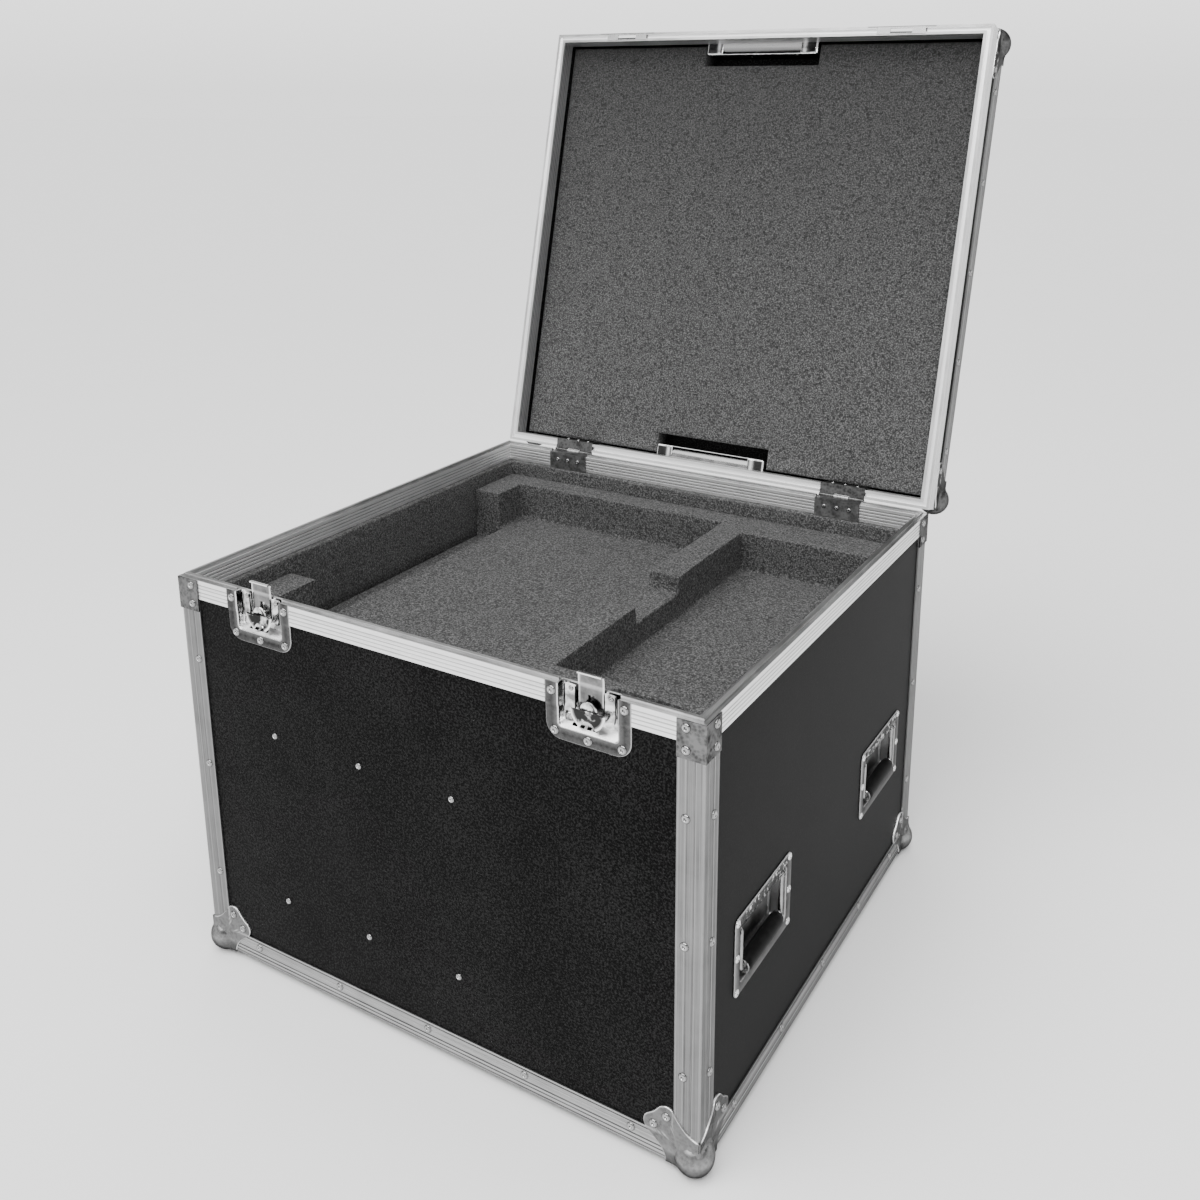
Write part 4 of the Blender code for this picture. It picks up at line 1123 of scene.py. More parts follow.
@dataclass
class Latch:
    """One recessed butterfly latch: flange, pan, hook, spindle and wing, with its keeper's rivets."""

    side: str
    centre: float
    half_width: float = 0.049
    low: float = 0.4422
    corner: float = 0.018
    recess: float = 0.034
    sill: float = 0.4572
    sill_slope: float = 0.75
    recess_corner: float = 0.004
    mouth: float = 0.0012
    floor: float = 0.0098
    pan_fold: float = 0.003
    sheet: float = 0.001
    crease: float = 0.4785
    rib_up: float = 0.492
    rib_start: float = 0.018
    steps: int = 14
    slots: Pairs = ((-0.0205, -0.0145), (-0.0125, -0.0065), (-0.0035, 0.0015), (0.0035, 0.0085))
    slot_insets: tuple[float, float] = (0.0040, 0.0074)
    guide_section: Pairs = (
        (0.0165, 0.0035), (0.0165, 0.0060), (0.0190, 0.0068), (0.0265, 0.0068), (0.0290, 0.0060),
        (0.0290, 0.0035),
    )
    guide_span: tuple[float, float] = (0.4735, 0.5022)
    guide_sheet: float = 0.0009
    stud_profile: Pairs = (
        (0.0, 0.0042), (0.0020, 0.0040), (0.0042, 0.0032), (0.0054, 0.0020), (0.0056, 0.0), (0.0, 0.0)
    )
    stud_at: tuple[float, float] = (-0.0262, 0.4660)
    spindle_up: float = 0.4802
    spindle_face: float = 0.0034
    spindle_profile: Pairs = (
        (0.0, 0.0008), (0.0030, 0.0008), (0.0034, 0.0012), (0.0078, 0.0012), (0.0084, 0.0016),
        (0.0096, 0.0015), (0.0100, 0.0011), (0.0100, 0.0004), (0.0094, 0.0), (0.0030, 0.0),
        (0.0030, -0.0060), (0.0, -0.0060),
    )
    hook_half: float = 0.015
    hook_front: float = 0.0075
    hook_wall: float = 0.0015
    hook_low: float = 0.4768
    hook_top: float = 0.51785
    hook_bend: float = 0.0022
    hook_nose: float = 0.0037
    fork_top: float = 0.4950
    fork_half: float = 0.0034
    wing_radius: float = 0.020
    wing_notch: float = 0.0088
    wing_sheet: float = 0.0007
    pin_half: float = 0.0185
    pin_radius: float = 0.0009
    rivet_places: tuple[Point, ...] = (
        (-0.0415, -0.0004, 0.4940), (0.0415, -0.0004, 0.4940), (-0.0388, 0.0004, 0.4512),
        (0.0388, 0.0004, 0.4512), (0.0, 0.0004, 0.4494),
    )
    guide_rivet_places: tuple[Point, ...] = ((-0.0228, 0.0068, 0.4975), (0.0228, 0.0068, 0.4975))
    keeper_rivet_places: tuple[Point, ...] = (
        (-0.0415, 0.0, 0.5105), (-0.0415, 0.0, 0.5290), (0.0415, 0.0, 0.5105), (0.0415, 0.0, 0.5290),
    )
    flange_section: tuple[Point, ...] = (
        (0.0, 0.0030, 1.0), (0.0, 0.0012, 1.0), (0.02, 0.0005, 1.0), (0.06, 0.0001, 0.7), (0.12, 0.0, 0.1),
        (0.5, 0.0, 0.0), (0.92, 0.0, 0.05), (0.97, 0.0002, 0.4), (1.0, 0.0006, 0.5), (1.0, 0.0014, 0.5),
        (0.97, 0.0015, 0.3), (0.5, 0.0015, 0.0), (0.10, 0.0015, 0.0), (0.07, 0.0018, 0.0),
        (0.07, 0.0030, 0.0),
    )

    def on_front(self, local: Array) -> Array:
        """Points (across, inset, up) about the latch's centre line, put on the front."""
        return Side.FRONT.place(local[..., 0] + self.centre, local[..., 1], local[..., 2])

    def boss(self, profile: Pairs, sides: int, across: float, inset: float, up: float) -> Skin:
        """A profile turned about a line square to the front, its heights going outwards from an inset."""
        return lathed(profile, sides).put(lambda p: stacked(p[:, 0] + across, inset - p[:, 2], p[:, 1] + up))

    def heads(self, rivets: Rivets, places: Sequence[Point]) -> Skin:
        """Rivets at places (across, inset, up) about the latch's centre line."""
        return rivets.skin([on_side(Side.FRONT, self.centre + place[0], *place[1:]) for place in places])

    def bay(self, half: float, low: float, radius: float) -> Array:
        """The left, lower and right edges of a bay that is open at the rim.

        Args:
            half: Half the bay's width.
            low: Its lowest height.
            radius: Its lower corners' radius.
        Returns:
            Points (across, up) from the rim on the left to the rim on the right.
        """
        top = SIZE.rim_up - 0.0003
        down = np.linspace(top, low + radius, self.steps, endpoint=False)
        turn = np.radians(np.linspace(180, 270, self.steps, endpoint=False))
        run = np.linspace(-half + radius, half - radius, self.steps, endpoint=False)
        bend = stacked(-half + radius + radius * np.cos(turn), low + radius + radius * np.sin(turn))
        left = np.concatenate([stacked(-half, down), bend])
        return np.concatenate([left, stacked(run, low), [[half - radius, low]], left[::-1] * MIRROR])

    def flange(self) -> Skin:
        """The flange: a folded section carried round the bay.

        Its section's rows are a share, an inset and a painted highlight, partly edge wear. The share goes
        from 0 at the recess to 1 at the outer edge, with the lip rolled inwards at 0. The upper stretch
        stands forward, where it lies over the rim, and a crease steps it back to the panel.

        Returns:
            The flange on the front.
        """
        inner = self.bay(self.recess, self.sill, self.recess_corner)
        outer = self.bay(self.half_width, self.low, self.corner)
        share, inset, lip = np.array(self.flange_section).T
        path = inner[:, None] + share[:, None] * (outer - inner)[:, None]
        across, up = path[..., 0], path[..., 1]
        rise = smooth_step((up - self.crease) / 0.0016 + 0.5)
        below = up - self.crease + 0.0009
        level = inset + 0.0004 - 0.0008 * rise - 0.0004 * bell(below, 0.0006)
        # Painted highlights, partly edge wear, along the crease and on the lips that the section's third row
        # marks.
        edge = np.maximum(bell(below, 0.0007) * 0.7, lip)
        return lattice(stacked(across, level, up)).wear_and_highlight(edge).put(self.on_front)

    def channel(self) -> Skin:
        """The pan's floor and two sides: a U section carried up from the sill to the rim, with a rib.

        Returns:
            The channel on the front.
        """
        half, floor, fold, turn = self.recess, self.floor, self.pan_fold, arc(0, 90, 6)
        side = np.array([[-half, self.mouth], [-half, 0.0040]])
        bend = stacked(-half + fold - fold * np.cos(turn), floor - fold + fold * np.sin(turn))
        near = np.concatenate([side, bend, stacked(np.linspace(-half + fold, 0, 6)[1:], floor)])
        near = np.concatenate([near, near[:-1][::-1] * MIRROR])
        up = np.linspace(self.sill, SIZE.rim_up - 0.0006, 8)[:, None]
        rib = 0.0005 * bell(up - self.rib_up, 0.0012)
        grids = []
        for thick in (0.0, self.sheet):
            across, inset = (near + beside(near) * thick).T
            grids.append(stacked(across, inset - rib * (np.abs(across) > self.rib_start), up))
        return plate(*grids).put(self.on_front)

    def sill_plate(self) -> Skin:
        """The pan's lower wall, which rises evenly towards the floor, with four slots punched through it.

        Returns:
            The sill on the front.
        """
        across = crowded(-self.recess, self.recess, np.ravel(self.slots), 0.003, 0.0008)
        inset = crowded(self.mouth, self.floor, self.slot_insets, 0.001, 0.0004)
        middle, depth = middles(across)[:, None], middles(inset)
        in_slot = np.any([(middle > low) & (middle < high) for low, high in self.slots], axis=0)
        in_slot = in_slot & (depth > self.slot_insets[0]) & (depth < self.slot_insets[1])
        rise = self.sill_slope * (inset - self.mouth)
        grids = [stacked(across[:, None], inset, up + rise) for up in (self.sill, self.sill - self.sheet)]
        return plate(*grids, ~in_slot).put(self.on_front)

    def guides(self) -> Skin:
        """Two folded strips beside the hook, which lean forward at the foot, and a stud low on the left.

        Returns:
            The guides on the front.
        """
        across, inset = np.array(self.guide_section).T
        up = np.linspace(*self.guide_span, 10)[:, None]
        lean = smooth_step((0.4800 - up) / 0.004) * 0.0016
        strips = [sheet(stacked(across * hand, inset - lean, up), self.guide_sheet) for hand in (-1, 1)]
        stud = self.boss(self.stud_profile, 24, self.stud_at[0], self.floor, self.stud_at[1])
        return joined([*strips, stud]).put(self.on_front)

    def hook(self) -> Skin:
        """The hook plate: upright, bent forward at the top, and forked round the spindle at its foot.

        Its middle line goes up at a constant inset and round a quarter circle to the nose, and the
        sheet stands half its wall to each side of that line.

        Returns:
            The hook plate on the front.
        """
        middle, bend, top = self.hook_front + self.hook_wall / 2, self.hook_bend, self.hook_top
        straight = crowded(self.hook_low, top - bend, (self.hook_low, self.fork_top), 0.002, 0.0012)
        turn = arc(0, 90, 7)[1:]
        inset = [np.full(len(straight), middle), middle - bend + bend * np.cos(turn), [self.hook_nose]]
        up = np.concatenate([straight, top - bend + bend * np.sin(turn), [top]])
        line = stacked(np.concatenate(inset), up)
        across = crowded(-self.hook_half, self.hook_half, (-self.fork_half, self.fork_half), 0.003, 0.001)
        shoulder = smooth_step((up - 0.5125) / 0.006) * 0.0012
        narrowed = across * (1 - shoulder[:, None] / self.hook_half)
        lines = [line + beside(line) * thick for thick in (-self.hook_wall / 2, self.hook_wall / 2)]
        grids = [stacked(narrowed, line[:, :1], line[:, 1:]) for line in lines]
        rows, columns = middles(up)[:, None], middles(across)
        fork = (rows > self.hook_low) & (rows < self.fork_top) & (np.abs(columns) < self.fork_half)
        # Painted highlights, partly edge wear: along the fold, over the bent nose and down both side edges.
        fold = bell(up - 0.5045, 0.0010) * 0.8
        marks = np.maximum(fold, smooth_step((up - 0.5160) / 0.0012))[:, None]
        edge = np.maximum(bell(self.hook_half - np.abs(across), 0.0010), marks)
        return plate(*grids, ~fork).wear_and_highlight(edge).put(self.on_front)

    def spindle(self) -> Skin:
        """The spindle's disc with a raised rim, on a stem."""
        disc = self.boss(self.spindle_profile, 36, 0.0, self.spindle_face, self.spindle_up)
        return disc.put(self.on_front)

    def wing(self) -> Skin:
        """The wing: a half disc with a rolled rim, two finger dimples and a notch at its foot.

        A point at angle a and share t of the way out lies at t R(a), where R is the wing's radius
        or, under the notch, the distance to the notch's circle. The sheet dips in the middle and
        stands forward at the rim. A pin lies along its hinge.

        Returns:
            The wing on the front.
        """
        radius, angle = self.wing_radius, arc(180, 360, 73)
        lean = angle - math.radians(270)
        under = self.wing_notch**2 - (radius * np.sin(lean)) ** 2
        notch = radius * np.cos(lean) - np.sqrt(np.maximum(under, 0))
        reach = np.where(under > 0, np.minimum(radius, notch), radius)
        share = np.array([0.0, 0.2, 0.4, 0.55, 0.68, 0.78, 0.86, 0.91, 0.95, 0.98, 1.0])[:, None]
        across, up = share * reach * np.cos(angle), share * reach * np.sin(angle)
        dimple = bell(np.hypot(np.abs(across) - 0.0100, up + 0.0085), 0.0042)
        rim = smooth_step((share - 0.80) / 0.10) - 0.6 * smooth_step((share - 0.93) / 0.07)
        inset = 0.0006 + 0.0006 * dimple - 0.0009 * rim
        # Painted highlight on the rolled rim.
        bright = np.broadcast_to(smooth_step((share - 0.84) / 0.06), across.shape)
        blade = sheet(stacked(across, inset, up + self.spindle_up), self.wing_sheet).wear_and_highlight(bright)
        ends = [(self.pin_radius, -self.pin_half), (self.pin_radius, self.pin_half)]
        pin = lathed([(0.0, -self.pin_half), *ends, (0.0, self.pin_half)], 12)
        pin = pin.put(lambda p: stacked(p[:, 2], p[:, 0] + 0.0006, p[:, 1] + self.spindle_up - 0.0002))
        return joined([blade, pin]).put(self.on_front)

    def build(self) -> None:
        """Every piece of the latch."""
        name = f"latch_{self.side}"
        make_piece(f"{name}_flange", self.flange(), Finish.FLANGE_ZINC, replaces=[f"{name}_dish"])
        make_piece(f"{name}_pan", self.channel(), Finish.BRIGHT)
        make_piece(f"{name}_sill", self.sill_plate(), Finish.SILL)
        make_piece(f"{name}_guides", self.guides(), Finish.BRIGHT, bevel=0.0002)
        rivets = self.heads(Rivets(0.0052, 0.0019, 24), self.rivet_places)
        make_piece(f"{name}_rivets", rivets, Finish.RIVET)
        small = self.heads(Rivets(0.0028, 0.0010), self.guide_rivet_places)
        make_piece(f"{name}_guide_rivets", small, Finish.RIVET)
        for part, form, skin, finish, bevel in (
            ("hook", "plate", self.hook(), Finish.HOOK, 0.0003),
            ("spindle", "disc", self.spindle(), Finish.BRIGHT, 0.0),
            ("wing", "plate", self.wing(), Finish.WING, 0.0),
        ):
            body = f"{name}_{part}"
            make_piece(f"{body}_{form}", skin, finish, body=body, replaces=[body], bevel=bevel)
        keeper = self.heads(Rivets(0.0036, 0.0013), self.keeper_rivet_places)
        make_piece(f"{name}_keeper_rivets", keeper, Finish.RIVET, Home.LID)


@dataclass
class RecessedHandle:
    """A stamped pan in a wall with a sprung bail: steel bar, washers and a rubber grip."""

    name: str
    side: Side
    centre: float
    middle: float
    home: Home = Home.CASE
    plate_size: tuple[float, float] = (0.143, 0.094)
    plate_corner: float = 0.008
    pan_size: tuple[float, float] = (0.120, 0.072)
    pan_corner: float = 0.006
    face: float = 0.0
    sheet: float = 0.0012
    depth: float = 0.022
    pivot_drop: float = 0.010
    pivot_inset: float = 0.0035
    arm: float = 0.050
    bar: float = 0.0028
    bend: float = 0.005
    stub: float = 0.002
    grip: float = 0.009
    rivet: float = 0.0045
    fold: float = 0.004
    corner_rivets: bool = True
    lit: float = 0.85
    lip: float = 0.0018
    brow_sheet: float = 0.0007
    cap_span: tuple[float, float] = (0.0640, 0.0890)
    strap_half: float = 0.0898
    strap_sheet: float = 0.0009
    strap_start: float = 0.0114
    strap_fold: float = 0.003
    clearance: float = 0.0003
    washer_room: float = 0.0045
    washer_round: float = 0.0004
    spring_turns: float = 4.0
    spring_wire: float = 0.00045

    def on_wall(self, local: Array) -> Array:
        """Points (along, inset, up) about the handle's middle, put on its wall."""
        return self.side.place(local[..., 0] + self.centre, local[..., 1], local[..., 2] + self.middle)

    def pivot(self) -> float:
        """The bail's pivots' height from the middle."""
        return self.pan_size[1] / 2 - self.pivot_drop

    def inside(self) -> float:
        """How far the pan's end walls stand from the middle, less the bail's clearance."""
        return self.pan_size[0] / 2 - self.sheet - self.clearance

    def reach(self) -> float:
        """How far the bail's arms stand from the middle."""
        return self.inside() - self.bend - self.stub

    def grip_half(self) -> float:
        """Half the grip's length."""
        return self.reach() - self.bar - self.washer_room

    def dish(self) -> Skin:
        """The stamped dish: rounded loops from the floor's middle, up the walls, over the flange and back.

        Each loop's row is its half width, half height, corner radius and inset.

        Returns:
            The dish on its wall.
        """
        half_x, half_z = self.pan_size[0] / 2 - self.sheet, self.pan_size[1] / 2 - self.sheet
        flange_x, flange_z = self.plate_size[0] / 2, self.plate_size[1] / 2
        floor, fold, corner = self.depth - self.sheet, self.fold, self.pan_corner
        lip, face = self.lip, self.face
        outer, outer_fold, turn = corner + self.sheet, fold + self.sheet, arc(0, 90, 6)
        rows = [(half_x * 0.02, half_z * 0.02, half_z * 0.01, floor)]
        rows += [(half_x * share, half_z * share, half_z * share * 0.3, floor) for share in (0.35, 0.7)]
        for angle in turn:
            shrink = fold * (1 - math.sin(angle)) + 0.0015
            rows.append((half_x - shrink, half_z - shrink, corner, floor - fold + fold * math.cos(angle)))
        for angle in turn:
            grow = lip * (1 - math.cos(angle))
            rows.append((half_x + grow, half_z + grow, corner + grow, face + lip - lip * math.sin(angle)))
        rows += [
            (flange_x - 0.0006, flange_z - 0.0006, self.plate_corner, face),
            (flange_x, flange_z, self.plate_corner, face + 0.0004),
            (flange_x, flange_z, self.plate_corner, face + 0.0011),
            (half_x + self.sheet + lip, half_z + self.sheet + lip, outer + lip, face + 0.0012),
        ]
        for angle in turn:
            grow = self.sheet - outer_fold * (1 - math.cos(angle))
            inset = self.depth - outer_fold + outer_fold * math.sin(angle)
            rows.append((half_x + grow, half_z + grow, outer, inset))
        rows.append((half_x * 0.5, half_z * 0.5, corner, self.depth))
        loops = []
        for width, height, radius, inset in rows:
            loop = rounded_loop(width, height, min(radius, width, height) * 0.999)
            loops.append(stacked(loop[:, 0], inset, loop[:, 1]))
        loops = np.array(loops)
        # Painted light in the pan: its floor and fold brighten towards the top by lit, and the mouth takes a
        # painted highlight. The plate's outer edge takes painted highlights, partly edge wear, and on a slim
        # handle these fade over the back's rows.
        edge = np.zeros(loops.shape[:2])
        edge[:9] = self.lit * smooth_step((loops[:9, :, 2] / half_z + 1) / 2)
        edge[8:12] = 0.45
        edge[15:19] = np.array([0.2, 0.7, 0.8, 0.6])[:, None]
        if not self.corner_rivets:
            edge[18:] = np.array([0.30, 0.34, 0.22, 0.10, 0.04, 0.0, 0.0, 0.0])[:, None]
        return lattice(loops).wear_and_highlight(edge).put(self.on_wall)

    def brow(self) -> Skin:
        """A hammered strip over the plate's upper band that hangs into the pan's top, clear of the springs.

        Down the strip its inset rises as a smooth step, and its dents are products of sines.

        Returns:
            The strip on its wall.
        """
        half = self.pan_size[0] / 2 - self.sheet - 0.0002
        top, low = self.plate_size[1] / 2 - 0.0022, self.pan_size[1] / 2 - 0.0058
        along, down = np.linspace(-half, half, 151)[:, None], np.linspace(0, 1, 25)
        dents = 0.00028 * np.sin(along * 520 + 2.1 * np.sin(along * 190)) * np.sin(down * 13.0 + along * 230)
        border = np.minimum(down, 1 - down)
        fade = np.clip(border * 8, 0, 1) * np.clip((half - np.abs(along)) / 0.004, 0, 1)
        rolled = 0.0003 * (1 - smooth_step(border * 16))
        inset = self.face - 0.0004 + 0.0012 * smooth_step((down - 0.5) * 2) + dents * fade + rolled
        return sheet(stacked(along, inset, top + (low - top) * down), self.brow_sheet).put(self.on_wall)

    def cradle(self) -> Skin:
        """A thin strap bent round the pan's back, seen from inside: a rounded path swept across the wall.

        Returns:
            The strap on its wall.
        """
        half, deep, width = self.strap_half, self.depth + 0.0007, self.pan_size[1] / 2 - 0.0008
        corner, fold, start = arc(0, 90, 6), self.strap_fold, self.strap_start
        left = stacked(-half + fold * (1 - np.cos(corner)), deep - fold * (1 - np.sin(corner)))
        path = np.concatenate([[[-half, start]], left, left[::-1] * MIRROR, [[half, start]]])
        up = np.linspace(-width, width, 29)
        lines = (path, path - beside(path) * self.strap_sheet)
        grids = [stacked(line[:, :1], line[:, 1:], up) for line in lines]
        # Painted light: brightest at the strap's low edge with the lid shut, fading out three quarters of the
        # way up, with painted highlights along both borders.
        share = (up + width) / (2 * width)
        shade = 0.75 * (1 - smooth_step(share / 0.75)) ** 1.5
        tone = np.maximum(shade, 0.4 * bell(np.minimum(share, 1 - share), 0.05))
        return plate(*grids).wear_and_highlight(tone).put(self.on_wall)

    def caps(self) -> Skin:
        """Pressed end caps over the pan's back: bulged plates bent over the pan's ends.

        Returns:
            Both caps on their wall.
        """
        (near, far), deep = self.cap_span, self.depth - 0.0002
        along = crowded(near, far, self.cap_span, 0.0015, 0.002)[:, None]
        inset = crowded(self.strap_start, deep, (deep,), 0.0015, 0.002)
        to_edge = np.minimum(np.minimum(along - near, far - along), deep - inset)
        roll = 0.0012 * (1 - smooth_step(to_edge / 0.0018))
        bulge = 0.0006 * np.cos((along - (near + far) / 2) / ((far - near) / 2) * math.pi)
        up = -self.pan_size[1] / 2 - 0.0006 + roll + bulge
        # Painted highlights along the caps' edges, and a softer painted highlight down each cap 0.07 from the
        # middle.
        bright = np.maximum(bell(to_edge, 0.0009), 0.7 * bell(along - 0.0700, 0.0028))
        pair = [sheet(stacked(hand * along, inset, up), self.brow_sheet, 2).wear_and_highlight(bright) for hand in (-1, 1)]
        return joined(pair).put(self.on_wall)

    def bail_path(self) -> Array:
        """The bar's middle line (along, up): out of a wall, down, across, up and into the other wall.

        Each bend is a curve pulled towards its corner, from a bend's length before it to one after.

        Returns:
            The line's points.
        """
        pivot, inside, reach = self.pivot(), self.inside(), self.reach()
        low = pivot - self.arm
        half = np.array([[-inside, pivot], [-reach, pivot], [-reach, low]])
        corners = np.concatenate([half, half[::-1] * MIRROR])
        share = np.linspace(0, 1, 9)[:, None]
        path = [corners[:1]]
        for before, corner, after in zip(corners, corners[1:], corners[2:]):
            start = corner + (before - corner) / np.linalg.norm(before - corner) * self.bend
            end = corner + (after - corner) / np.linalg.norm(after - corner) * self.bend
            path.append((1 - share) ** 2 * start + 2 * share * (1 - share) * corner + share**2 * end)
        return np.concatenate(path + [corners[-1:]])

    def bar_skin(self) -> Skin:
        """The bent bar: a circle carried square to the path in the wall's plane.

        Returns:
            The bar on its wall.
        """
        path, angle = self.bail_path(), around(14)
        in_plane = path[:, None] + beside(path)[:, None] * (self.bar * np.cos(angle))[:, None]
        inset = self.pivot_inset + self.bar * np.sin(angle)
        return lattice(stacked(in_plane[..., 0], inset, in_plane[..., 1])).put(self.on_wall)

    def on_bar(self, points: Array) -> Array:
        """Points of a shape turned about the third axis, laid along the bar's low run."""
        up = self.pivot() - self.arm
        return self.on_wall(stacked(points[:, 2], points[:, 0] + self.pivot_inset, points[:, 1] + up))

    def grip_skin(self) -> Skin:
        """The grip: a thick sleeve with rounded ends and a slight swell in the middle.

        Returns:
            The grip on its bar.
        """
        half, inner = self.grip_half(), self.bar + 0.0002
        share = np.linspace(-1, 1, 25)
        end = np.clip((1 - np.abs(share)) * half / 0.003, 0, 1)
        swell = self.grip * (0.965 + 0.035 * np.cos(share * math.pi / 2))
        radius = swell - 0.002 * (1 - np.sqrt(1 - (1 - end) ** 2))
        return lathed([(inner, -half), *zip(radius, share * half), (inner, half)], 32).put(self.on_bar)

    def washers(self) -> Skin:
        """A steel washer at each end of the grip.

        Returns:
            Both washers on the bar.
        """
        inner, wide, small = self.bar + 0.0001, self.grip * 0.86, self.washer_round
        pair = []
        for hand in (-1, 1):
            near, far = [hand * (self.grip_half() + gap) for gap in (0.0003, 0.0022)]
            sides = [(wide, near + hand * small), (wide, far - hand * small)]
            profile = [(inner, near), (wide - small, near), *sides, (wide - small, far), (inner, far)]
            pair.append(lathed(profile, 28, ring=True))
        return joined(pair).put(self.on_bar)

    def springs(self) -> Skin:
        """A coil spring on each pivot stub: a circle carried along a helix.

        Returns:
            Both springs on their wall.
        """
        start, end = self.reach() + self.bar + 0.0006, self.pan_size[0] / 2 - self.sheet - 0.0008
        share = np.linspace(0, 1, 97)
        angle = share * self.spring_turns * math.tau
        radial = stacked(0.0, np.cos(angle), np.sin(angle))
        turn = around(6)[:, None]
        lengthwise = np.array([1.0, 0.0, 0.0])
        circle = self.spring_wire * (np.cos(turn) * radial[:, None] + np.sin(turn) * lengthwise)
        pair = []
        for hand in (-1, 1):
            axis = stacked(hand * (start + (end - start) * share), self.pivot_inset, self.pivot())
            pair.append(lattice((axis + (self.bar + 0.0007) * radial)[:, None] + circle))
        return joined(pair).put(self.on_wall)

    def rivet_spots(self) -> list[Spot]:
        """Four rivets at the plate's corners and two at the middle of its ends.

        Returns:
            Their spots.
        """
        x, z = [(plate_side + pan_side) / 4 for plate_side, pan_side in zip(self.plate_size, self.pan_size)]
        ups = (-z, z, 0.0) if self.corner_rivets else (0.0,)
        places = [(self.centre + hand * x, self.middle + up) for hand in (-1, 1) for up in ups]
        return [on_side(self.side, along, self.face, up) for along, up in places]

    def build(self) -> None:
        """Every piece of the handle."""
        name, home, bail = self.name, self.home, f"{self.name}_bail"
        finish = Finish.HANDLE_ZINC if self.corner_rivets else Finish.TROUGH
        make_piece(f"{name}_pan", self.dish(), finish, home, replaces=[f"{name}_dish"])
        if self.corner_rivets:
            make_piece(f"{name}_brow", self.brow(), Finish.BROW, home)
        else:
            make_piece(f"{name}_cradle", self.cradle(), Finish.TROUGH, home)
            make_piece(f"{name}_caps", self.caps(), Finish.TROUGH, home)
        make_piece(f"{name}_springs", self.springs(), Finish.ROD, home)
        rivets = Rivets(self.rivet, 0.0014).skin(self.rivet_spots())
        make_piece(f"{name}_rivets", rivets, Finish.STUD, home)
        make_piece(f"{name}_bar", self.bar_skin(), Finish.ROD, home, bail)
        make_piece(f"{name}_washers", self.washers(), Finish.ROD, home, bail)
        make_piece(f"{name}_grip", self.grip_skin(), Finish.RUBBER, home, bail, "grip_rubber", [bail])


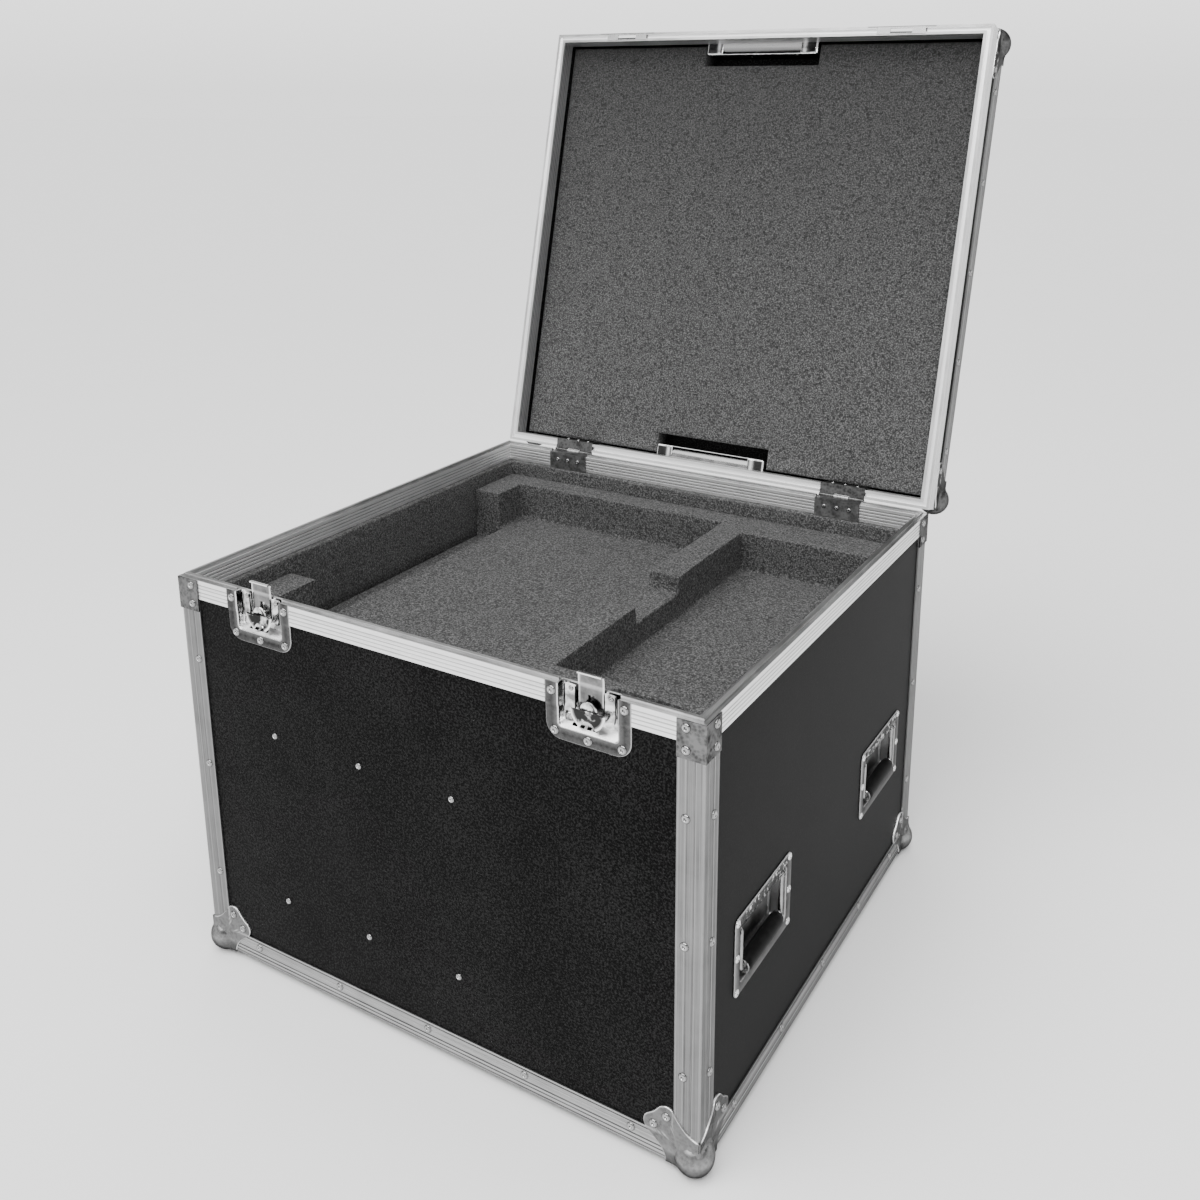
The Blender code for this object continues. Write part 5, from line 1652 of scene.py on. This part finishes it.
@dataclass
class BallCorner:
    """A pressed ball corner: three sleeves with eared plates, and the ball over the case's corner.

    It is worked out at the origin with the case on the positive side of all three axes.
    """

    name: str
    right: int
    back: int
    home: Home
    height: float = 1.0
    ball_radius: float = 0.0213
    ball_inset: float = 0.0107
    flat: float = 0.0005
    rise: float = 0.0015
    ear_rise: float = 0.0007
    root: float = 0.0303
    mouth: float = 0.038
    ear_far: float = 0.053
    ear_near: float = 0.038
    lobe: float = 0.012
    centre: float = 0.020
    roll: float = 0.0009
    blend: float = 0.0028
    sunk: float = -0.0002
    foot: float = -0.0016

    def outline(self) -> Array:
        """The outline of one face: the box edges, the mouth's curve and the two lobes.

        The mouth leaves the edge at its near end and goes out as the square of its way across the
        trim, and each lobe is part of a circle about its rivet.

        Returns:
            Its points, of shape (count, 2).
        """
        low = -self.rise
        dip = math.degrees(math.asin((self.ear_near - self.root) / self.lobe))
        reach = self.ear_far + self.lobe * math.cos(math.radians(dip))
        share = np.linspace(0, 1, 15)
        turn = arc(-dip, 45, 14)[1:]
        half = np.concatenate([
            stacked(np.linspace(low, self.mouth, 9)[:-1], low),
            stacked(self.mouth + (reach - self.mouth) * share**2, low + (self.root - low) * share),
            stacked(self.ear_far + self.lobe * np.cos(turn), self.ear_near + self.lobe * np.sin(turn)),
        ])
        waist = (half[-1] + half[-1][::-1]) / 2 - 0.0009
        return np.concatenate([half, [waist], half[::-1, ::-1][:-1]])

    def face(self, turn: Callable[[Array, Array, Array], Array], tall: int | None) -> Skin:
        """One face of the corner.

        Rows of points shrink from the outline to a centre. Their height over the case is the
        sleeve's rise, less at the ears, eased up where the ball comes through, and rolled down
        along the outline.

        Args:
            turn: Puts (first, second, height) on the face.
            tall: Which of the first two runs up the case, or None for the level face.
        Returns:
            The closed plate.
        """
        rim = self.outline()
        if tall is not None:
            rim[:, tall] = np.minimum(rim[:, tall], self.height)
        share = np.array(
            [0.02, 0.15, 0.3, 0.45, 0.58, 0.68, 0.76, 0.82, 0.87, 0.91, 0.94, 0.96, 0.975, 0.988, 0.996, 1.0]
        )[:, None]
        path = self.centre + share[..., None] * (rim - self.centre)
        inner = path.min(axis=-1)
        ease = smooth_step((self.root + 0.0012 - inner) / 0.0014)
        height = self.ear_rise + (self.rise - self.ear_rise) * ease
        to_rim = (1 - share) * np.linalg.norm(rim - self.centre, axis=-1)
        fall = self.roll * (1 - np.sqrt(1 - (1 - np.clip(to_rim / self.roll, 0, 1)) ** 2))
        across = np.linalg.norm(path - self.ball_inset, axis=-1)
        ball = np.sqrt(np.clip(self.ball_radius**2 - across**2, 0, None)) - self.ball_inset
        ball = np.where(across < self.ball_radius, ball, -0.05)
        over = np.clip(1 - np.abs(ball - height) / self.blend, 0, 1)
        swell = np.maximum(ball, height) + over * over * self.blend / 4
        height = np.minimum(swell, height + 0.0024) - np.minimum(fall, height - self.sunk)
        narrow, close = rim.min(axis=-1), self.centre + 0.3 * (rim - self.centre)
        foot = np.where(narrow > self.root - 0.0001, self.foot, self.sunk)
        rows = [turn(path[..., 0], path[..., 1], height), turn(rim[:, 0], rim[:, 1], foot)[None]]
        rows.append(turn(close[:, 0], close[:, 1], self.sunk)[None])
        # Painted highlights, partly edge wear: bright along the outline and on the foot row, and a softer
        # painted highlight along the crease where the ears meet the sleeves.
        bright = (narrow > 0.001)[None] * 1.0
        crease = bell(self.root + 0.0004 - inner, 0.0006) * 0.45 * (path.max(axis=-1) > 0.036)
        edge = [np.maximum(bell(to_rim, 0.0008) * bright, crease), bright, bright * 0.0]
        return lattice(np.concatenate(rows)).wear_and_highlight(np.concatenate(edge))

    def ball(self) -> Skin:
        """The ball, with a small flat at its pole, and drawn in where it would lie inside the case.

        Returns:
            The ball at the origin.
        """
        polar = np.radians(np.concatenate([[12.2], np.linspace(16, 150, 30), [165, 178]]))[:, None]
        angle = around(56)
        reach = stacked(np.sin(polar) * np.cos(angle), np.sin(polar) * np.sin(angle), -np.cos(polar))
        points = self.ball_inset + self.ball_radius * reach
        hidden = points.min(axis=-1, keepdims=True) > 0.0002
        points = np.where(hidden, self.ball_inset + 0.3 * self.ball_radius * reach, points)
        points[..., 2] = np.maximum(points[..., 2], self.ball_inset - self.ball_radius + self.flat)
        return lattice(points)

    def place(self, points: Array) -> Array:
        """Points at the origin, put on this corner of the case or, upside down, of the lid.

        Args:
            points: Places of shape (count, 3).
        Returns:
            The same places on the corner, with the lid shut.
        """
        x, y, z = points.T
        level, sense = (SIZE.bottom, 1.0) if self.home is Home.CASE else (SIZE.lid_top, -1.0)
        x, y = self.right * (SIZE.half_width - x), self.back * (SIZE.half_depth - y)
        return stacked(x, y, level + sense * z)

    def build(self) -> None:
        """The corner as one piece."""
        faces = [
            self.face(lambda p, q, h: stacked(p, q, -h), None),
            self.face(lambda p, q, h: stacked(p, -h, q), 1),
            self.face(lambda p, q, h: stacked(-h, p, q), 1),
        ]
        skin = joined([*faces, self.ball()]).put(self.place)
        finish = ("zinc_plate", [self.name], 50)
        make_piece(f"{self.name}_pressing", skin, Finish.BALL_ZINC, self.home, self.home.value, *finish)


@dataclass(frozen=True)
class Pocket:
    """A rectangular pocket in the foam bed."""

    low: tuple[float, float]
    high: tuple[float, float]
    sink: float


def waved(x: Array, y: Array, size: float, first: Point, second: Point) -> Array:
    """Slow waves over a foam face: a product of two sines plus half a slanting one.

    Args:
        x: First coordinates.
        y: Second coordinates.
        size: The waves' height.
        first: The product's two rates and its first phase.
        second: The slanting wave's two rates and the product's second phase.
    Returns:
        Heights of the same shape.
    """
    product = np.sin(first[0] * x + first[2]) * np.sin(first[1] * y + second[2])
    return size * (product + 0.5 * np.sin(second[0] * x + second[1] * y))


@dataclass
class FoamBed:
    """The foam bed and the lining round it."""

    half_x: float = 0.3286
    half_y: float = 0.3086
    bottom: float = 0.3488
    top: float = 0.4582
    corner: float = 0.005
    lip: float = 0.0013
    wall: float = 0.0018
    pockets: tuple[Pocket, ...] = (
        Pocket((-0.284, -0.278), (0.070, 0.270), 0.055),
        Pocket((0.112, -0.223), (0.309, 0.247), 0.055),
        Pocket((0.196, -0.296), (0.286, -0.236), 0.040),
        Pocket((-0.345, -0.178), (-0.276, 0.212), 0.075),
        Pocket((0.060, -0.050), (0.122, 0.060), 0.022),
    )
    lining_x: float = 0.3289
    lining_y: float = 0.3089
    lining_top: float = 0.4779
    hinge_x: float = 0.225
    hinge_half: float = 0.0335
    hinge_low: float = 0.4719
    hinge_inset: float = 0.0036
    lining_wall: float = 0.010
    lining_round: float = 0.0022
    notch_step: float = 0.0002
    spacing: float = 0.010
    crowd: float = 0.006

    def surface(self, x: Array, y: Array) -> Array:
        """The bed's height.

        Each pocket takes its sink times a smooth step of the depth inside its outline, after a lip
        that sags as exp of the distance to the edge. The deepest pocket wins, and slow waves and a
        rounded border are added.

        Args:
            x: First coordinates.
            y: Second coordinates.
        Returns:
            Heights of the same shape.
        """
        drop = np.zeros_like(x)
        for pocket in self.pockets:
            deep = inside_rectangle(x, y, pocket.low, pocket.high, self.corner)
            lip = self.lip * np.exp(np.minimum(deep, 0) / 0.0022)
            drop = np.maximum(drop, lip + (pocket.sink - self.lip) * smooth_step(deep / self.wall))
        half = (self.half_x, self.half_y)
        border = inside_rectangle(x, y, (-half[0], -half[1]), half, 0.003)
        edge = 0.0016 * np.exp(-np.maximum(border, 0) / 0.0022)
        return self.top - drop - edge + waved(x, y, 0.00035, (31, 27, 1.1), (83, -61, 0.4))

    def lines(self, half: float, axis: int) -> Array:
        """Grid lines along one axis, which crowd at the pockets' edges and at the bed's.

        Args:
            half: Half the bed's size along that axis.
            axis: 0 or 1.
        Returns:
            The lines in order.
        """
        edges = [end for pocket in self.pockets for end in (pocket.low[axis], pocket.high[axis])]
        edges = [end for end in edges if abs(end) < half] + [-half, half]
        return crowded(0.0004 - half, half - 0.0004, edges, self.spacing, self.crowd)

    def bed(self) -> Skin:
        """The bed as a height over a grid whose lines crowd at every pocket edge, with a flat underside."""
        x, y = self.lines(self.half_x, 0)[:, None], self.lines(self.half_y, 1)
        return plate(stacked(x, y, self.surface(x, y)), stacked(x, y, self.bottom))

    def section(self) -> tuple[Array, Array]:
        """The lining's section, and which of its points can be drawn in behind a hinge.

        Returns:
            Points (outwards, up) round a strip with two rounded edges, and the flags.
        """
        corner, wall, top, low = self.lining_round, self.lining_wall, self.lining_top, self.hinge_low
        turn = arc(0, 90, 5)
        inner = [(0.0, self.bottom), (0.0, 0.40), (0.0, 0.455)]
        inner += [(corner - corner * math.cos(a), top - corner + corner * math.sin(a)) for a in turn]
        outer = [(wall - corner + corner * math.sin(a), top - corner + corner * math.cos(a)) for a in turn]
        outer += [(wall, low), (wall, low - 0.0001), (wall, self.bottom)]
        section = np.array(inner + outer)
        return section, (np.arange(len(section)) >= len(inner)) & (section[:, 1] >= low)

    def lining(self) -> Skin:
        """The lining: a rounded section carried round the case and thinned behind each hinge.

        The section's outer points above the hinge leaves' lowest edge move inwards over the
        leaves' width, and slow waves ripple the inner face.

        Returns:
            The lining in place.
        """
        section, upper = self.section()
        half_x, half_y, step = self.lining_x, self.lining_y, self.notch_step
        signs = [(s, e, d) for s in (-1, 1) for e in (-1, 1) for d in (0, step)]
        edges = [s * self.hinge_x + e * (self.hinge_half + d) for s, e, d in signs]
        plain, side = np.linspace(-half_x, half_x, 45), np.linspace(-half_y, half_y, 43)
        back = np.unique(np.round(np.concatenate([plain, edges]), 5))
        stations = (
            (plain[:-1], -half_y, False), (half_x, side[:-1], False), (back[:0:-1], half_y, True),
            (-half_x, side[:0:-1], False),
        )
        x, y, behind = np.concatenate([stacked(*station) for station in stations]).T
        outward_x = np.sign(x) * (np.abs(np.abs(x) - half_x) < 1e-6)
        outward_y = np.sign(y) * (np.abs(np.abs(y) - half_y) < 1e-6)
        near_hinge = (behind > 0) & (np.abs(np.abs(x) - self.hinge_x) < self.hinge_half + step / 2)
        thick = section[:, 0] - np.where(near_hinge[:, None] & upper, self.hinge_inset, 0)
        thick = thick + 0.0005 * np.sin(47 * (x + y))[:, None] * (section[:, 0] < 0.001)
        grid_x, grid_y = x[:, None] + outward_x[:, None] * thick, y[:, None] + outward_y[:, None] * thick
        return lattice(stacked(grid_x, grid_y, section[:, 1]), ring=True)

    def build(self) -> None:
        """Both pieces."""
        foam = (Finish.FOAM, Home.CASE, "case", "foam")
        bed = make_piece("foam_bed_cut", self.bed(), *foam, ["foam_bed"], 180)
        lining = make_piece("foam_lining_strip", self.lining(), *foam, ["foam_lining"], 180)


@dataclass
class LidFoam:
    """The foam pad in the lid, cut out round the backs of the lid handles."""

    half_x: float = 0.3347
    half_y: float = 0.3147
    low: float = 0.5305
    high: float = 0.5614
    notch_half: float = 0.0935
    notch_deep: float = 0.030

    def pad(self) -> Skin:
        """The pad: its near face rounds off towards every edge, and slow waves cross it.

        The rounding is exp of the distance inside the outline, which is the pad's rectangle less the
        two notches.

        Returns:
            The pad, with the lid shut.
        """
        notch = self.half_y - self.notch_deep
        half, low = (self.half_x, self.half_y), (-self.half_x, -self.half_y)
        x = crowded(low[0], half[0], [low[0], -self.notch_half, self.notch_half, half[0]], 0.010, 0.006)
        y = crowded(low[1], half[1], [low[1], -notch, notch, half[1]], 0.010, 0.006)
        keep = (np.abs(middles(x)) >= self.notch_half)[:, None] | (np.abs(middles(y)) <= notch)
        x = x[:, None]
        border = inside_rectangle(x, y, low, half, 0.004)
        for hand in (-1, 1):
            near, far = sorted((hand * notch, hand * (self.half_y + 0.02)))
            away = -inside_rectangle(x, y, (-self.notch_half, near), (self.notch_half, far), 0.003)
            border = np.minimum(border, away)
        edge = 0.0026 * np.exp(-np.maximum(border, 0) / 0.0028)
        wave = waved(x, y, 0.0004, (29, 33, 0.7), (71, 53, 0.0))
        return plate(stacked(x, y, self.low + edge + wave + 0.0004), stacked(x, y, self.high), keep)

    def build(self) -> None:
        """The pad."""
        pad = make_piece("lid_foam_pad", self.pad(), Finish.FOAM, Home.LID, "lid", "foam", ["lid_foam"], 180)


@dataclass
class Hinges:
    """Rivets on the hinges' inner plates."""

    centres: tuple[float, float] = (-0.225, 0.225)
    spacing: float = 0.0185
    plate_y: float = 0.3156
    heights: tuple[float, float] = (0.4925, 0.5145)
    rivets: Rivets = field(default_factory=lambda: Rivets(0.0034, 0.0014, 16))

    def build(self) -> None:
        """Three rivets on each leaf, facing into the case."""
        acrosses = [centre + step * self.spacing for centre in self.centres for step in (-1, 0, 1)]
        for home, up in zip(Home, self.heights):
            spots = [Spot((across, self.plate_y, up), (0.0, -1.0, 0.0)) for across in acrosses]
            make_piece(f"{home.value}_hinge_rivets", self.rivets.skin(spots), Finish.RIVET, home)


class Coats:
    """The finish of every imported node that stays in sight."""

    RULES = (
        ("left_panel", Finish.SIDE_LAMINATE), ("right_panel", Finish.SIDE_LAMINATE),
        ("*_panel", Finish.LAMINATE), ("lid_shell", Finish.LAMINATE), ("post_angle*", Drawn.POST),
        ("base_angle*", Drawn.BASE), ("body_rim", Drawn.RIM), ("lid_rim", Drawn.LID_RIM),
        ("lid_edge_angles", Drawn.LID_EDGE), ("divider_frame", Finish.PLYWOOD),
        ("rim_brace*", Finish.TRIM_ZINC), ("hinge_*lid_leaf", Finish.LID_LEAF),
        ("hinge_*", Finish.HINGE_ZINC), ("*keeper*", Finish.KEEPER), ("*", Finish.BALL_ZINC),
    )

    def dress(self) -> None:
        """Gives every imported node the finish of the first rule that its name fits."""
        for name, node in frame["nodes"].items():
            home = Home.LID if node["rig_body"].startswith("lid") else Home.CASE
            finish = next(finish for pattern, finish in self.RULES if fnmatchcase(name, pattern))
            node.data.materials.clear()
            node.data.materials.append(finish.material(home))
            LOG.info("%s: finished", name)


@dataclass
class Studio:
    """Pale floor, soft light and the camera at the photograph's viewpoint."""

    lens: float = 36.536
    shift: tuple[float, float] = (-0.0308, -0.1583)
    eye: tuple[float, float, float] = (0.79553, -1.22131, 1.06004)
    right: tuple[float, float, float] = (0.864494, 0.502643, 0.000058)
    down: tuple[float, float, float] = (0.127969, -0.219982, -0.967074)
    floor_radii: tuple[float, ...] = (0.0, 0.5, 1.5, 8.0, 50.0)
    floor_drop: float = 0.0103
    bands: Pairs = ((0.0, 0.78), (0.09, 1.0), (0.22, 1.0), (0.34, 0.16), (0.62, 0.22), (0.80, 0.8))
    surround: float = 2.1
    sun: float = 2.6
    sun_degrees: tuple[float, float, float] = (32, -18, 50)

    def camera(self) -> None:
        """The camera, with its axes as the columns of its matrix."""
        data = bpy.data.cameras.new("viewpoint")
        data.lens = self.lens
        data.sensor_width = 36.0
        data.shift_x, data.shift_y = self.shift
        data.clip_start, data.clip_end = 0.01, 200.0
        right = Vector(self.right).normalized()
        up = (-Vector(self.down)).normalized()
        turn = Matrix((right, up, right.cross(up).normalized())).transposed().to_4x4()
        eye = in_scene("viewpoint", data)
        eye.matrix_world = Matrix.Translation(self.eye) @ turn
        bpy.context.scene.camera = eye

    def floor(self) -> None:
        """A wide disc under the balls' flats: rings of points at growing radii."""
        radius, angle = np.array(self.floor_radii)[:, None], around(64)
        grid = stacked(radius * np.cos(angle), radius * np.sin(angle), SIZE.bottom - self.floor_drop)
        skin = lattice(grid, capped=False)
        mesh = bpy.data.meshes.new("floor")
        mesh.from_pydata(skin.points.tolist(), [], skin.quads.tolist())
        mesh.materials.append(Floor().build("floor", Home.CASE))
        in_scene("floor", mesh)

    def lamp(self, name: str, place: Point, aim: Point, size: float, power: float) -> None:
        """A square soft light that faces a point.

        Args:
            name: The light's name.
            place: Where it hangs.
            aim: The point that it faces.
            size: Its side.
            power: Its power in watts.
        """
        data = bpy.data.lights.new(name, "AREA")
        data.size = size
        data.energy = power
        lamp = in_scene(name, data)
        lamp.location = place
        lamp.rotation_euler = (Vector(aim) - Vector(place)).to_track_quat("-Z", "Y").to_euler()

    def daylight(self) -> None:
        """A wide sun, turned from straight down about X and Y."""
        data = bpy.data.lights.new("daylight", "SUN")
        data.energy = self.sun
        *turn, data.angle = [math.radians(value) for value in self.sun_degrees]
        in_scene("daylight", data).rotation_euler = (*turn, 0)

    def sky(self) -> None:
        """A white surround with a darker band half-way up, so the metal has something to mirror."""
        world = bpy.data.worlds.new("surround")
        world.use_nodes = True
        tree = world.node_tree
        place = tree.nodes.new("ShaderNodeTexCoord").outputs["Generated"]
        split = tree.nodes.new("ShaderNodeSeparateXYZ")
        ramp = tree.nodes.new("ShaderNodeValToRGB")
        sky = tree.nodes["Background"]
        set_stops(ramp.color_ramp.elements, self.bands)
        tree.links.new(place, split.inputs[0])
        tree.links.new(split.outputs[2], ramp.inputs[0])
        tree.links.new(ramp.outputs[0], sky.inputs[0])
        sky.inputs[1].default_value = self.surround
        bpy.context.scene.world = world

    def build(self) -> None:
        """Camera, floor, lights and surround."""
        self.camera()
        self.floor()
        self.sky()
        self.lamp("overhead", (0.2, -0.4, 2.9), (0.0, 0.0, 0.3), 1.6, 30.0)
        self.lamp("key", (1.15, -1.60, 2.30), (0.0, -0.1, 0.35), 0.5, 26.0)
        self.daylight()


def main() -> None:
    """Builds every assembly in order."""
    logging.basicConfig(level=logging.INFO, format="%(message)s")
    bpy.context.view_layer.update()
    Studio().build()
    Coats().dress()
    for prefix, home in (("ball_corner", Home.CASE), ("lid_corner", Home.LID)):
        height = 1.0 if home is Home.CASE else 0.0447
        for end, back in (("front", -1), ("back", 1)):
            for hand, right in (("left", -1), ("right", 1)):
                BallCorner(f"{prefix}_{end}_{hand}", right, back, home, height=height).build()
    CaseFasteners().build()
    for side, centre in (("left", -0.222), ("right", 0.222)):
        Latch(side, centre).build()
    for hand, side in (("left", Side.LEFT), ("right", Side.RIGHT)):
        for end, centre in (("front", -0.184), ("back", 0.184)):
            RecessedHandle(f"handle_{hand}_{end}", side, centre, 0.198).build()
    for end, side in (("front", Side.FRONT), ("back", Side.BACK)):
        RecessedHandle(
            f"lid_handle_{end}", side, 0.0, 0.5435, Home.LID, plate_size=(0.175, 0.044),
            pan_size=(0.150, 0.028), pan_corner=0.004, face=-0.0015, depth=0.028, pivot_drop=0.0075,
            pivot_inset=0.010, arm=0.0135, bar=0.0023, bend=0.004, grip=0.005, rivet=0.0034,
            corner_rivets=False, fold=0.010,
        ).build()
    Hinges().build()
    FoamBed().build()
    LidFoam().build()


if __name__ == "__main__":
    main()
